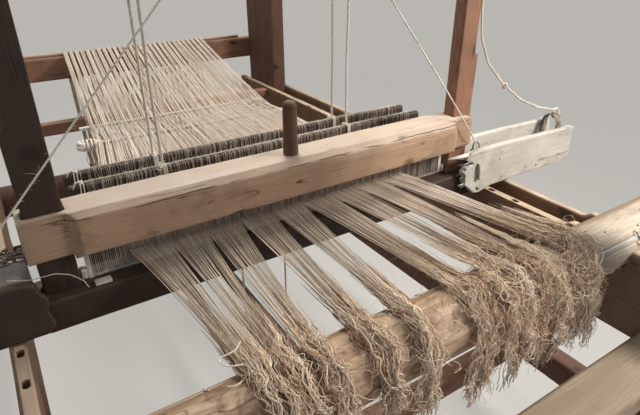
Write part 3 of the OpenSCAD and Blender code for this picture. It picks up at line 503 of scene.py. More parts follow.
SLOTS = {"sawn_pine": "pale_timber", "handled_pine": "brown_timber", "planed_larch": "brown_timber",
         "smoked_oak": "brown_timber", "blackened_oak": "dark_timber", "weathered_board": "grey_timber",
         "worn_seat_board": "grey_timber"}


def worn(node, along, kind, cell, keep=1.0, wear=1.2, shape=None, material=None, slot=None):
    """An old timber piece in the form of a CAD node: rounded arrises, adze waves and hollows along the
    grain. cell is the mesh's cell in mm, keep the share of faces that stay, wear the waves' depth in mm."""
    piece = link(bpy.data.objects.new(node + "_worn", nodes[node].data.copy()))
    piece.data.materials.clear()
    cells = piece.modifiers.new("cells", "REMESH")
    cells.mode = "VOXEL"
    cells.voxel_size = cell * MM
    soft = piece.modifiers.new("soft", "SMOOTH")
    soft.factor = 0.5
    soft.iterations = 3 if cell > 3 else 2
    mesh = settle(piece)
    co, out = vectors(mesh, "co"), vectors(mesh, "normal")
    seed = sum(ord(c) * (i + 3) for i, c in enumerate(node))
    stretch = {"x": (9, 1, 1), "y": (1, 9, 1), "z": (1, 1, 9)}[along]
    coarse = ripple(co, [0.035 * s for s in stretch], seed)
    middling = ripple(co, [0.011 * s for s in stretch], seed + 1)
    depth = wear * MM * (0.55 + 0.6 * coarse + 0.35 * middling)
    co = co - out * np.clip(depth, 0, None)[:, None]
    if shape:
        co = shape(co, out)
    mesh.vertices.foreach_set("co", co.astype(np.float32).ravel())
    mesh.update()
    if keep < 1:
        fewer = piece.modifiers.new("fewer", "DECIMATE")
        fewer.ratio = keep
        mesh = settle(piece)
    mesh.polygons.foreach_set("use_smooth", [True] * len(mesh.polygons))
    mesh.materials.append(material or timber(kind, along))
    return put(piece, nodes[node]["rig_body"], slot or SLOTS[kind], node)


def dress(node, material):
    """A CAD node that keeps its shape gets its real finish."""
    for slot in nodes[node].material_slots:
        slot.material = material


# Frame and beams: node, grain, kind, cell, share of faces kept.
for row in (
        ("front_posts", "z", "smoked_oak", 9, 0.22), ("rear_posts", "z", "smoked_oak", 9, 0.3),
        ("inner_planks", "y", "sawn_pine", 2.6, 0.035), ("outer_planks", "y", "sawn_pine", 7, 0.13),
        ("top_rails", "y", "smoked_oak", 10, 0.2), ("low_rails", "y", "smoked_oak", 10, 0.2),
        ("top_cross_rails", "x", "smoked_oak", 10, 0.2),
        ("foot_cross_rails", "x", "blackened_oak", 10, 0.2),
        ("pulley_bar", "x", "smoked_oak", 9, 0.25), ("rocker_blocks", "x", "blackened_oak", 4, 0.25),
        ("rocker_beam", "x", "blackened_oak", 8, 0.25), ("lower_back_rail", "x", "planed_larch", 6, 0.25),
        ("back_rail", "x", "planed_larch", 5, 0.25), ("warp_beam", "x", "smoked_oak", 6, 0.3),
        ("treadle_left", "y", "smoked_oak", 4.5, 0.2), ("treadle_right", "y", "smoked_oak", 4.5, 0.2),
        ("treadle_bracket", "z", "blackened_oak", 4, 0.3), ("pulley_blocks", "z", "blackened_oak", 3, 0.3),
        ("ratchet_wheel", "z", "blackened_oak", 2.5, 0.3)):
    worn(*row, wear=1.6)


def board_form(co, _):
    """The right board has rotted away in long points at its inner end, and leans out at its outer end."""
    inner = np.clip(0.70 - co[:, 0], 0, None)
    high = np.clip((co[:, 2] - 0.785) / 0.02, 0, 1)
    ragged = np.clip((co[:, 2] - 0.855) / 0.02, 0, 1) * np.clip(inner / 0.08, 0, 1)
    foot = np.clip(1 - np.abs(co[:, 0] - 0.62) / 0.045, 0, 1) * (1 - high)
    co[:, 0] -= inner * (0.2 + 0.42 * high) + 0.03 * ragged
    # Below the long splinter at the top, the end stands nearly upright with small bites.
    last = 0.528 + 0.26 * np.clip(0.868 - co[:, 2], 0, 0.08) + 0.007 * ripple(co, (9, 0.02, 0.009), 33)
    beyond = np.clip(last - co[:, 0], 0, None) * (co[:, 2] < 0.872)
    co[:, 0] += beyond * 0.9
    co[:, 0] += 0.038 * np.clip((co[:, 0] - 0.9) / 0.09, 0, 1) * np.clip((co[:, 2] - 0.775) / 0.11, 0, 1)
    co[:, 2] += (co[:, 2] - 0.83) * 0.045 - 0.012 * foot
    return co


# Seen close by: a finer mesh, and how deep the wear goes.
for row in (
        ("seat_beam", "x", "worn_seat_board", 4, 0.24, 2.6),
        ("knee_bar", "x", "planed_larch", 4.5, 0.3, 1.8),
        # The left sword, the race beam and the left box's front board take the nearly black timber partly
        # for their dark old wood and partly as painted shade; the right sword and the right board are paler
        # wood.
        ("sword_left", "z", "blackened_oak", 4.5, 0.3, 1.2),
        ("sword_right", "z", "planed_larch", 4.5, 0.3, 1.2),
        ("race_beam", "x", "blackened_oak", 5, 0.28, 1.4),
        ("hand_peg", "z", "smoked_oak", 2, 0.4, 0.8),
        ("box_front_left", "x", "blackened_oak", 4, 0.4, 1.6),
        ("box_backs", "x", "weathered_board", 4, 0.35, 1.4),
        ("box_front_right", "x", "weathered_board", 2.5, 0.34, 1.8, board_form),
        ("small_blocks", "x", "weathered_board", 2.5, 0.3, 0.8),
        ("shaft_bars_front", "x", "blackened_oak", 4, 0.35, 0.9),
        ("shaft_bars_back", "x", "blackened_oak", 4, 0.35, 0.9),
        ("log_lath", "x", "weathered_board", 2.5, 0.4, 0.5),
        ("pull_handle", "z", "planed_larch", 2, 0.3, 0.5)):
    worn(*row)


def tree_form(co, _):
    """The hand tree is a baulk with a wane along its top front arris, dipped a little by hands."""
    co[:, 2] -= np.clip(2 * MM * ripple(co, (0.3, 9, 9), 5), 0, None)
    top_front = np.clip((co[:, 2] - 0.962) / 0.034, 0, 1) * np.clip((-0.472 - co[:, 1]) / 0.0405, 0, 1)
    wane = 8 * MM * (0.7 + 0.6 * ripple(co, (0.16, 9, 9), 8) + 0.3 * ripple(co, (0.04, 9, 9), 9))
    co[:, 1] += top_front * wane * 0.8
    co[:, 2] -= top_front * wane * 0.8
    # Its right end is rounded over.
    far = np.clip((co[:, 0] - 0.545) / 0.055, 0, 1)
    co[:, 0] -= 0.011 * far
    co[:, 2] -= 0.022 * far ** 3 * np.clip((co[:, 2] - 0.93) / 0.06, 0, 1)
    co[:, 1] += 0.010 * far ** 3 * np.clip((-0.475 - co[:, 1]) / 0.04, 0, 1)
    return co


worn("hand_tree", "x", "handled_pine", 3.5, 0.28, 1.3, tree_form, timber("handled_pine", "x", 0.9815))


def log_form(co, _):
    """A log isn't round: it has long swellings and flats."""
    away = co[:, 1:] - np.array((LOG_Y, LOG_Z))
    length = np.linalg.norm(away, axis=1)
    skin = np.clip((length - 0.05) / 0.02, 0, 1)
    swell = 2.4 * MM * ripple(co, (0.35, 0.09, 0.09), 21) - 2.6 * MM
    swell += 1.0 * MM * ripple(co, (0.09, 0.03, 0.03), 22)
    co[:, 1:] += away / np.maximum(length, 0.001)[:, None] * (swell * skin)[:, None]
    return co


worn("cloth_log", "x", None, 4.5, 0.22, 0.6, log_form, PEELED, "pale_timber")
worn("end_strap", "x", None, 1.6, 0.4, 0.3, None, RAWHIDE, "leather")

for finish, names in (
        (IRON, ("iron_axles", "rocker_pins", "treadle_rod", "pawl")),
        (timber("smoked_oak", "x"), ("pulley_left", "pulley_right")),
        (timber("sawn_pine", "x"), ("frame_pegs", "back_rod")),
        (timber("weathered_board", "x"), ("lease_sticks",)),
        (HARNESS, ("picker_left", "picker_right"))):
    for name in names:
        dress(name, finish)


# Strands

def mesh_of(name, verts, faces_by_size, shade, material):
    """A mesh from numpy arrays: verts n x 3, and one array of faces for each number of corners."""
    mesh = bpy.data.meshes.new(name)
    mesh.vertices.add(len(verts))
    mesh.vertices.foreach_set("co", verts.astype(np.float32).ravel())
    corners = np.concatenate([f.ravel() for f in faces_by_size])
    sizes = np.concatenate([np.full(len(f), f.shape[1]) for f in faces_by_size])
    mesh.loops.add(len(corners))
    mesh.loops.foreach_set("vertex_index", corners.astype(np.int32))
    mesh.polygons.add(len(sizes))
    mesh.polygons.foreach_set("loop_start", (np.cumsum(sizes) - sizes).astype(np.int32))
    mesh.polygons.foreach_set("loop_total", sizes.astype(np.int32))
    mesh.polygons.foreach_set("use_smooth", np.ones(len(sizes), bool))
    mesh.update(calc_edges=True)
    mesh.validate()
    tone = mesh.attributes.new("shade", "FLOAT", "POINT")
    tone.data.foreach_set("value", shade.astype(np.float32))
    mesh.materials.append(material)
    return link(bpy.data.objects.new(name, mesh))


def strands(name, groups, material, sides=4):
    """One piece of many round strands. Each group is (paths S x N x 3, radii S x N, shade S)."""
    verts, quads, caps, shades, start = [], [], [], [], 0
    for paths, radii, shade in groups:
        paths = np.asarray(paths, float)
        s, n = paths.shape[:2]
        radii = np.broadcast_to(np.asarray(radii, float), (s, n))
        ahead = np.empty_like(paths)
        ahead[:, 1:-1] = paths[:, 2:] - paths[:, :-2]
        ahead[:, 0] = paths[:, 1] - paths[:, 0]
        ahead[:, -1] = paths[:, -1] - paths[:, -2]
        ahead /= np.maximum(np.linalg.norm(ahead, axis=2, keepdims=True), 1e-9)
        # The guide is the axis that the strand keeps away from, so that its rings don't flip.
        guide = np.eye(3)[np.argmin(np.abs(ahead).max(axis=1), axis=1)][:, None, :]
        a = np.cross(ahead, np.broadcast_to(guide, ahead.shape))
        a /= np.maximum(np.linalg.norm(a, axis=2, keepdims=True), 1e-9)
        b = np.cross(ahead, a)
        turn = np.arange(sides) * 2 * math.pi / sides
        ring = (np.cos(turn)[None, None, :, None] * a[:, :, None, :]
                + np.sin(turn)[None, None, :, None] * b[:, :, None, :])
        verts.append((paths[:, :, None, :] + ring * radii[:, :, None, None]).reshape(-1, 3))
        first = start + np.arange(s)[:, None, None] * n * sides + np.arange(n - 1)[None, :, None] * sides
        k = np.arange(sides)[None, None, :]
        k1 = (k + 1) % sides
        corners = [first + k, first + k1, first + sides + k1, first + sides + k]
        quads.append(np.stack(corners, -1).reshape(-1, 4))
        ends = start + np.arange(s)[:, None] * n * sides
        caps.append(ends + np.arange(sides - 1, -1, -1)[None, :])
        caps.append(ends + (n - 1) * sides + np.arange(sides)[None, :])
        shades.append(np.repeat(np.asarray(shade, float), n * sides))
        start += s * n * sides
    cap = np.concatenate(caps)
    faces = [np.concatenate(quads + [cap])] if sides == 4 else [np.concatenate(quads), cap]
    return mesh_of(name, np.concatenate(verts), faces, np.concatenate(shades), material)


def along_route(points, count):
    """Points evenly spaced along a smooth line through a few points."""
    p = np.asarray(points, float)
    step = np.concatenate([[0], np.cumsum(np.linalg.norm(np.diff(p, axis=0), axis=1))])
    t = np.linspace(0, step[-1], count)
    q = np.stack([np.interp(t, step, p[:, i]) for i in range(3)], 1)
    for _ in range(max(3, count // 40)):
        q[1:-1] = 0.25 * q[:-2] + 0.5 * q[1:-1] + 0.25 * q[2:]
    return q


def twisted(route, radius, plies=3, lay=0.018, tone=0.5):
    """The plies of a twisted cord as a strand group. lay is the length of one turn."""
    route = np.asarray(route, float)
    ahead = np.gradient(route, axis=0)
    ahead /= np.linalg.norm(ahead, axis=1, keepdims=True)
    guide = np.eye(3)[np.argmin(np.abs(ahead).max(axis=0))]
    a = np.cross(ahead, guide)
    a /= np.linalg.norm(a, axis=1, keepdims=True)
    b = np.cross(ahead, a)
    run = np.concatenate([[0], np.cumsum(np.linalg.norm(np.diff(route, axis=0), axis=1))])
    paths = []
    for k in range(plies):
        turn = run / lay * 2 * math.pi + k * 2 * math.pi / plies
        paths.append(route + 0.52 * radius * (np.cos(turn)[:, None] * a + np.sin(turn)[:, None] * b))
    return np.array(paths), 0.56 * radius, [tone + 0.08 * (k % 2) for k in range(plies)]


def hairs(routes, count, length, spread, thick=0.00022, tone=0.6, steps=4):
    """Loose fibres that stand off one or more lines, as a strand group."""
    routes = np.asarray(routes, float)
    if routes.ndim == 2:
        routes = routes[None]
    which = rng.integers(0, len(routes), count)
    at = rng.uniform(0, routes.shape[1] - 1.001, count)
    i = at.astype(int)
    near, far = routes[which, i], routes[which, i + 1]
    root = near + (far - near) * (at - i)[:, None]
    ahead = far - near
    ahead /= np.maximum(np.linalg.norm(ahead, axis=1, keepdims=True), 1e-9)
    way = rng.normal(size=(count, 3)) * spread + ahead * rng.choice([-1, 1], count)[:, None]
    way /= np.linalg.norm(way, axis=1, keepdims=True)
    curl = rng.normal(size=(count, 3)) * 0.6
    twirl = rng.normal(size=(count, 3)) * 0.25
    size = length * rng.uniform(0.4, 1.3, count)[:, None]
    paths = np.stack([root + size * (way * u + curl * u * u + twirl * math.sin(5 * u))
                      for u in np.linspace(0, 1, steps)], 1)
    radii = thick * np.linspace(1.0, 0.4, steps)[None, :] * np.ones((count, 1))
    return paths, radii, rng.uniform(tone - 0.25, tone + 0.3, count)


def knot(centre, size, axis, turns=3, radius=0.0022, tone=0.6, seed=1):
    """A small ball of wound cord, as a strand group."""
    pick = random.Random(seed)
    t = np.linspace(0, 2 * math.pi, 28)
    loops = []
    for _ in range(turns):
        across, along = pick.uniform(-0.8, 0.8), pick.uniform(-0.8, 0.8)
        tilt = Matrix.Rotation(across, 3, "X") @ Matrix.Rotation(along, 3, "Y")
        turn = Vector(axis).to_track_quat("Z", "Y").to_matrix() @ tilt
        grow = pick.uniform(0.7, 1.1)
        ring = [turn @ Vector((math.cos(a) * size * grow, math.sin(a) * size * grow,
                               size * 0.5 * math.sin(2 * a + pick.random()))) for a in t]
        loops.append([tuple(Vector(centre) + v) for v in ring])
    return np.array(loops), radius, [tone + 0.1 * k / turns for k in range(turns)]


def rope(name, route, radius, turn, tone, lay, extras=()):
    """A twisted hemp cord that is tied at both ends: a round core along its route, and the plies on it."""
    core = strands(name, [(route[None], 0.74 * radius, [tone - 0.2])], CORD, 6)
    plies = strands(name + "_plies", [twisted(route, radius, 3, turn, tone), *extras], CORD, 4)
    return core, plies


def cad_rope(node, body, *form):
    """A rope in place of a CAD cord, on one body."""
    core, plies = rope(node + "_hemp", *form)
    put(core, body, "twine", node)
    put(plies, body, "twine")


def wander(run, rows, cell, seed):
    """Smooth noise along strands, -1 to 1. run is S x N, rows names the noise that each strand follows."""
    s, n = run.shape
    rows = np.repeat(np.asarray(rows, float), n)
    return ripple(np.stack([run.ravel(), rows, rows * 0], 1), (cell, 1, 1), seed).reshape(s, n)


# Warp: each thread's place at the reed and at the back rail.
ids = np.arange(THREADS)
pitch = (REED_X[1] - REED_X[0]) / THREADS
at_reed = REED_X[0] + (ids + 0.5) * pitch
rail_pitch = (RAIL_X[1] - RAIL_X[0]) / THREADS
# At the rail the threads lie in groups of eleven with gaps between them.
GROUPS = 28
group = ids * GROUPS // THREADS
group_mid = np.array([ids[group == g].mean() for g in range(GROUPS)])[group]
at_rail = RAIL_X[0] + (group_mid + 0.5 + (ids - group_mid) * 0.66) * rail_pitch
at_rail += rng.normal(0, 0.25 * MM, THREADS)
front_set = ids[::2]
back_set = ids[1::2]
THREAD_R = 0.95 * MM
thread_tone = np.clip(0.4 + 0.22 * rng.normal(size=THREADS), 0.0, 0.95)


def rear_threads(name, index, shaft, up):
    """Half of the threads, from the roll over the back rail and through the lease to their shaft."""
    (near_y, near_z), (far_y, far_z) = LEASE
    lift = 7.5 * MM
    # Place along Y, height, how far the thread has moved over from its reed place to its rail place, and
    # how much further the leftmost threads have moved, because the lease sticks draw them in.
    stations = [(SHAFT_Y[shaft], EYE_Z, 0, 0), (SHAFT_Y[shaft] + 0.0325, EYE_Z, 0.016, 0.01),
                (SHAFT_Y[shaft] + 0.0625, EYE_Z, 0.031, 0.02), (0.02, 0.857 + up * 3 * MM, 0.16, 0.10),
                (near_y, near_z + up * lift, 0.32, 0.23), (far_y, far_z - up * lift, 0.45, 0.16),
                (0.72, 0.896, 0.62, 0.12), (0.97, 0.944, 0.8, 0.07),
                (ROD_Y - 0.012, ROD_TOP + 0.5 * MM, 0.97, 0), (ROD_Y, ROD_TOP + 1.6 * MM, 1, 0),
                (ROD_Y + 0.012, ROD_TOP - 1 * MM, 1, 0),
                (RAIL_BACK_Y + 0.8 * MM, 0.966, 1, 0), (RAIL_BACK_Y + 1.4 * MM, 0.93, 1, 0),
                (RAIL_BACK_Y + 1.4 * MM, 0.865, 1, 0), (1.190, 0.70, 1, 0), (1.140, 0.46, 1, 0),
                (ROLL_Y + ROLL_R + 1.2 * MM, 0.40, 1, 0)]
    paths = []
    for j in index:
        lean = chance.gauss(0, 1.8 * MM)
        line = []
        for y, z, w, more in stations:
            loose = 0 < w < 0.9
            w += more * (1 - j / THREADS) ** 2
            x = at_reed[j] + (at_rail[j] - at_reed[j]) * w + lean * math.sin(w * math.pi)
            x += chance.gauss(0, 0.4 * MM) * loose
            line.append((x, y, z + chance.gauss(0, 0.3 * MM) * loose))
        paths.append(line)
    piece = strands(name, [(paths, 1.5 * MM, thread_tone[index])], LINEN, 3)
    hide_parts("warp_sheet")
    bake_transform(piece)


rear_threads("warp_rear_front_shaft", front_set, 0, 1)
rear_threads("warp_rear_back_shaft", back_set, 1, -1)


def warp_roll():
    """The warp wound on its beam: rings of thread side by side."""
    turn = np.linspace(0, 2 * math.pi, 19)
    rings = []
    for x in np.arange(RAIL_X[0] - 0.004, RAIL_X[1] + 0.004, 3.4 * MM):
        r = ROLL_R - 0.9 * MM + chance.uniform(0, 0.8) * MM
        slip = chance.uniform(-0.6, 0.6) * MM
        rings.append(np.stack([x + slip * np.sin(turn + x * 40), ROLL_Y + r * np.cos(turn),
                               ROLL_Z + r * np.sin(turn)], 1))
    piece = strands("warp_roll_threads", [(rings, 1.9 * MM, rng.uniform(0.1, 0.6, len(rings)))], LINEN, 3)
    put(piece, "warp_beam", "yarn", "warp_roll")


warp_roll()

# Bouts: middle where it crosses the log, width there, shift of its hanging end, how low it hangs,
# strong strands, fine strands and curl.
CROSSINGS = (
    (-0.330, 0.026, 0.012, 0.60, 24, 22, 1.0), (-0.284, 0.034, 0.014, 0.60, 28, 28, 1.0),
    (-0.222, 0.028, 0.016, 0.64, 22, 24, 1.1), (-0.123, 0.028, 0.012, 0.64, 22, 24, 1.1),
    (-0.024, 0.030, 0.012, 0.60, 26, 28, 1.1), (0.120, 0.040, 0.006, 0.56, 38, 40, 1.2),
    (0.228, 0.038, 0.010, 0.55, 40, 52, 1.25), (0.312, 0.040, 0.030, 0.55, 44, 62, 1.35),
    (0.436, 0.052, 0.044, 0.55, 50, 72, 1.5))


def over_log(x_reed, x_log, x_end, lift, low, points, begin=0.28):
    """Lines from the reed over the log's top and down its front. begin is how far out the close points
    start. Gives the points, S x N x 3, the length run at each of them and the length of the free span."""
    r = LOG_R + lift
    y0, z0 = REED_Y - 0.02 - LOG_Y, EYE_Z - LOG_Z
    far = math.hypot(y0, z0)
    touch = math.atan2(z0, y0) + np.arccos(r / far)
    span = np.sqrt(far * far - r * r)
    arc = (math.pi - touch) * r
    total = span + arc + LOG_Z - low
    begin = np.broadcast_to(begin, len(r))
    head = begin[:, None] * np.linspace(0, 1, 10)[None]
    rest = begin[:, None] + (total - begin)[:, None] * np.linspace(0, 1, points)[None, 1:]
    run = np.concatenate([head, rest], 1)
    span, arc, total, touch, r = (v[:, None] for v in (span, arc, total, touch, r))
    flat = np.clip(run / span, 0, 1)
    angle = touch + np.clip((run - span) / r, 0, math.pi - touch)
    after = np.clip((run - span) / (total - span), 0, 1)
    x = x_reed[:, None] + (x_log - x_reed)[:, None] * flat ** 0.85 + (x_end - x_log)[:, None] * after
    y = LOG_Y + r * np.cos(angle) + (y0 - r * np.cos(touch)) * (1 - flat)
    z = LOG_Z + r * np.sin(angle) + (z0 - r * np.sin(touch)) * (1 - flat)
    z -= np.clip(run - span - arc, 0, None)
    return np.stack([x, y, z], 2), run, span


def clear_of_log(paths):
    """Moves what has sunk into the log back to its skin."""
    away = paths[..., 1:] - np.array((LOG_Y, LOG_Z))
    far = np.linalg.norm(away, axis=-1)
    least = LOG_R + 0.8 * MM
    sunk = far < least
    paths[..., 1:][sunk] = np.array((LOG_Y, LOG_Z)) + away[sunk] / far[sunk, None] * least
    return paths


def frizz(paths, run, span, rows, locks, amount, seed):
    """Curls that begin before the log and grow to the strand's end, partly shared by a lock of strands."""
    grow = np.clip((run - span + 0.12) / 0.15, 0, 1) ** 1.3 * amount * MM
    for axis, share in ((0, 1.0), (1, 0.6), (2, 0.6)):
        move = 7.0 * wander(run, locks, 0.05, seed + axis)
        move += 4.0 * wander(run, locks, 0.018, seed + 3 + axis)
        move += 5.2 * wander(run, rows, 0.020, seed + 5 + axis)
        move += 4.2 * wander(run, rows, 0.0105, seed + 9 + axis)
        paths[..., axis] += move * share * grow
    return clear_of_log(paths)


def bout_threads(name, index, shaft):
    """The threads of one shaft, from its eyes through the reed to the log, gathered in bouts."""
    k = np.minimum(index * BOUTS // THREADS, BOUTS - 1)
    within = index * BOUTS / THREADS - k - 0.5
    table = np.array([c[:4] for c in CROSSINGS])[k]
    count = len(index)
    x_log = table[:, 0] + within * table[:, 1] + rng.normal(0, 2.0 * MM, count)
    x_end = x_log + table[:, 2] + rng.normal(0, 6 * MM, count)
    lift = np.abs(rng.normal(0, 3 * MM, count)) + 1.2 * MM
    low = table[:, 3] + rng.uniform(0.0, 0.10, count)
    paths, run, span = over_log(at_reed[index], x_log, x_end, lift, low, 39)
    slack = np.sin(np.clip(run / span, 0, 1) * math.pi)
    # Threads drift together in twos and threes, and hang a little slack.
    drift = ripple(at_reed[index][:, None] * np.array((1.0, 0.0, 0.0)), (0.009, 1, 1), 61)
    paths[..., 0] += slack * (2.4 * MM * drift + rng.normal(0, 1.0 * MM, count))[:, None]
    paths[..., 2] -= slack * np.abs(rng.normal(0, 1.7 * MM, count))[:, None]
    paths = frizz(paths, run, span, index, index // 8 + 500, 0.8, 70 + shaft)
    eye = np.stack([at_reed[index], np.full(count, SHAFT_Y[shaft]), np.full(count, EYE_Z)], 1)[:, None]
    # Two more points on the way to the reed let the shed's bend start inside the shafts.
    bend = [eye + (paths[:, :1] - eye) * share for share in (0.17, 0.27)]
    paths = np.concatenate([eye] + bend + [paths], 1)
    piece = strands(name, [(paths, THREAD_R, thread_tone[index])], LINEN, 3)
    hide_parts("warp_bouts")
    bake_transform(piece)
    return paths


thread_lines = [bout_threads("bouts_front_shaft", front_set, 0),
                bout_threads("bouts_back_shaft", back_set, 1)]


def fringe(name, which):
    """The frayed ends over the log: more strands than threads, since each thread has opened. They cling
    together in locks, each of which lies higher or lower and ends by itself."""
    groups, lines = [], []
    for k in which:
        mid, width, shift, low, strong, fine, curl = CROSSINGS[k]
        x_reed = REED_X[0] + (k + 0.5) * (REED_X[1] - REED_X[0]) / BOUTS
        locks = 5
        lock_at = np.linspace(-0.62, 0.62, locks) + rng.normal(0, 0.10, locks)
        lock_lift = rng.permutation(locks) * 2.1 * MM * curl
        lock_shift = rng.normal(0, 0.014 * curl, locks)
        lock_low = rng.uniform(0.0, 0.08, locks)
        for count, thick, spread, frizzed, points in ((strong, 1.5 * MM, 0.10, 1.1, 45),
                                                      (fine, 0.65 * MM, 0.18, 1.8, 37)):
            lock = rng.integers(0, locks, count)
            off = lock_at[lock] + rng.normal(0, spread, count)
            x_log = mid + off * width
            x_end = x_log + shift + lock_shift[lock] + rng.normal(0, 0.004 * curl, count)
            lift = lock_lift[lock] + np.abs(rng.normal(0, 2.4 * MM * curl, count)) + 2.0 * MM
            ends = low + lock_low[lock] + rng.uniform(-0.01, 0.05, count)
            begin = 0.23 + 0.18 * rng.beta(2.5, 1.6, count)
            paths, run, span = over_log(x_reed + off * 0.06, x_log, x_end, lift, ends, points, begin)
            rows = 2000 * (k + 1) + rng.integers(0, 1900, count)
            paths = frizz(paths, run, span, rows, lock + 40 * k, frizzed * curl, 80 + k)[:, 8:]
            taper = np.ones(paths.shape[1])
            taper[:10] = np.linspace(0.35, 1.0, 10)
            taper[-5:] = np.linspace(1.0, 0.4, 5)
            # Painted shade: strands of the locks that lie lower on the log are darker and those that lie
            # higher are lighter, over a random tone.
            tone = np.clip(0.10 * lock_lift[lock] / MM / curl + rng.normal(0.14, 0.34, count), 0.0, 1.0)
            groups.append((paths, thick * taper[None, :], tone))
            lines.append(paths[:, 5:])
        # The loose hairs stand off the strong strands.
        groups.append(hairs(lines[-2], strong * 4, 0.016, 1.4, 0.0004, 0.8))
    put(strands(name, groups, FRINGE, 3), "frame", "yarn")


fringe("fringe_left", (0, 1, 2))
fringe("fringe_middle", (3, 4, 5))
fringe("fringe_right", (6, 7, 8))


def tangle(name, count, x_range, length, thick, seed):
    """Curly fibres that wander over the log: at each step the heading turns a little more."""
    pick = np.random.default_rng(seed)
    steps = 20
    angle = pick.uniform(math.radians(70), math.radians(185), count)
    r = LOG_R + pick.uniform(2, 16, count) * MM
    at = np.stack([pick.uniform(*x_range, count), LOG_Y + r * np.cos(angle), LOG_Z + r * np.sin(angle)], 1)
    heading = pick.normal(size=(count, 3))
    spin = pick.normal(size=(count, 3))
    step = length / steps * pick.uniform(0.5, 1.3, count)[:, None]
    line = [at]
    for _ in range(steps):
        spin += pick.normal(size=(count, 3)) * 0.5
        spin *= 0.93
        heading = heading + np.cross(spin, heading) * 0.22 + np.array((0.01, -0.05, -0.16))
        heading /= np.linalg.norm(heading, axis=1, keepdims=True)
        out = at[:, 1:] - np.array((LOG_Y, LOG_Z))
        far = np.linalg.norm(out, axis=1, keepdims=True)
        # Held near the log's skin.
        pull = np.clip((far - LOG_R - 0.022) * 14, -0.5, 0.7)
        heading[:, 1:] -= out / far * pull
        at = at + heading * step
        line.append(at)
    paths = clear_of_log(np.stack(line, 1))
    radii = thick * np.linspace(1.0, 0.5, steps + 1)[None, :]
    put(strands(name, [(paths, radii, pick.uniform(0.2, 0.95, count))], FRINGE, 3), "frame", "yarn")


tangle("tangle_right", 170, (0.17, 0.475), 0.17, 0.85 * MM, 5)
tangle("tangle_left", 70, (-0.34, 0.14), 0.09, 0.6 * MM, 6)

# Fluff on the threads in the last stretch before the log.
for number, lines in enumerate(thread_lines):
    fluff = hairs(lines[:, 11:19], 560, 0.011, 1.0, 0.0003, 0.75)
    put(strands(f"thread_fluff_{number + 1}", [fluff], FRINGE, 3), "frame", "yarn")


# Heddles, reed and cords

def round_bar(x, y, z, half_t, half_h, turn, square=(1.6, 1.6)):
    """Points of a cord wound round a square bar: an ellipse swelled by square, and flat at the sides."""
    return np.stack([x, y + np.clip(square[0] * np.cos(turn), -1, 1) * half_t,
                     z + np.clip(square[1] * np.sin(turn), -1, 1) * half_h], 1)


def heddle_loops(shaft, index):
    """String heddles: each a loop round both bars, with an eye at the warp's height."""
    side_name = ("front", "back")[shaft]
    body = "shaft_" + side_name
    low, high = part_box("shaft_bars_" + side_name)
    reach = [corner.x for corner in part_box("heddles_" + side_name)]
    y = SHAFT_Y[shaft]
    half_t = (high.y - low.y) / 2 + 0.9 * MM
    half_h = BAR_HALF + 0.9 * MM
    bar_z = (high.z - BAR_HALF, low.z + BAR_HALF)
    xs = list(at_reed[index])
    for start, way in ((REED_X[1] + 4 * MM, 1), (REED_X[0] - 4 * MM, -1)):
        x = start
        while reach[0] < x < reach[1]:
            xs.append(x)
            x += way * chance.uniform(3, 8) * MM
    loops, tones = [], []
    for x in xs:
        lean = chance.gauss(0, 4.0 * MM)
        tone = chance.uniform(0.05, 1.0)
        for side in (-1, 1):
            w = side * half_t
            bend = chance.gauss(0, 2.4 * MM)
            e = 1.6 * MM * side
            top, bottom = bar_z[0] + half_h, bar_z[1] - half_h
            loops.append([
                (x + lean, y, top), (x + lean, y + w * 0.8, top), (x + lean, y + w, top - 3 * MM),
                (x + lean + bend, y + w, bar_z[0] - half_h),
                (x + bend + lean * 0.7, y + w * 0.6, bar_z[0] - 0.028),
                (x - bend + lean * 0.4, y + w * 0.35, (bar_z[0] + EYE_Z) / 2),
                (x, y + e * 0.4, EYE_Z + 9 * MM), (x + e * 0.5, y + e, EYE_Z + 3 * MM),
                (x + e * 0.5, y + e, EYE_Z - 3 * MM), (x, y + e * 0.4, EYE_Z - 9 * MM),
                (x - bend, y + w * 0.5, (bar_z[1] + EYE_Z) / 2), (x - lean, y + w, bar_z[1] + half_h),
                (x - lean, y + w, bottom + 3 * MM), (x - lean, y + w * 0.8, bottom), (x - lean, y, bottom)])
            tones.append(tone + chance.uniform(0, 0.2))
    # Here and there a turn of twine round the upper bar, between the loops.
    turn = np.linspace(0, 2 * math.pi, 13)
    turns, turn_tones = [], []
    for x in xs:
        if chance.random() < 0.45:
            mid, slope = x + chance.gauss(0, 2.0 * MM), chance.gauss(0, 4.0 * MM)
            grow = chance.uniform(0.2, 1.6) * MM
            turns.append(round_bar(mid + slope * np.cos(turn + 1), y, bar_z[0], half_t + grow,
                                   half_h + grow, turn, (1.5, 1.25)))
            turn_tones.append(chance.uniform(0.2, 1.0))
    # A ridge cord along the bar's top, which the loops are tied to.
    over = bar_z[0] + half_h + 1.6 * MM
    points = [(reach[0] - 0.02, y, over), (0, y, over + 0.4 * MM), (reach[1] + 0.01, y, over)]
    ridge = along_route(points, 160)
    ridge[:, 2] += 0.8 * MM * ripple(ridge, (0.02, 1, 1), 90 + shaft)
    fuzz = hairs(np.array(loops)[:, 0:7], 360, 0.009, 1.2, 0.0005, 0.8)
    groups = [(loops, 0.8 * MM, tones), (turns, 0.7 * MM, turn_tones), fuzz]
    put(strands(f"heddle_loops_{side_name}", groups, TWINE, 3), body, "twine", "heddles_" + side_name)
    plies = twisted(ridge, 1.7 * MM, 2, 0.010, 0.4)
    put(strands(f"heddle_ridge_{side_name}", [plies], CORD, 4), body, "twine")


heddle_loops(0, front_set)
heddle_loops(1, back_set)


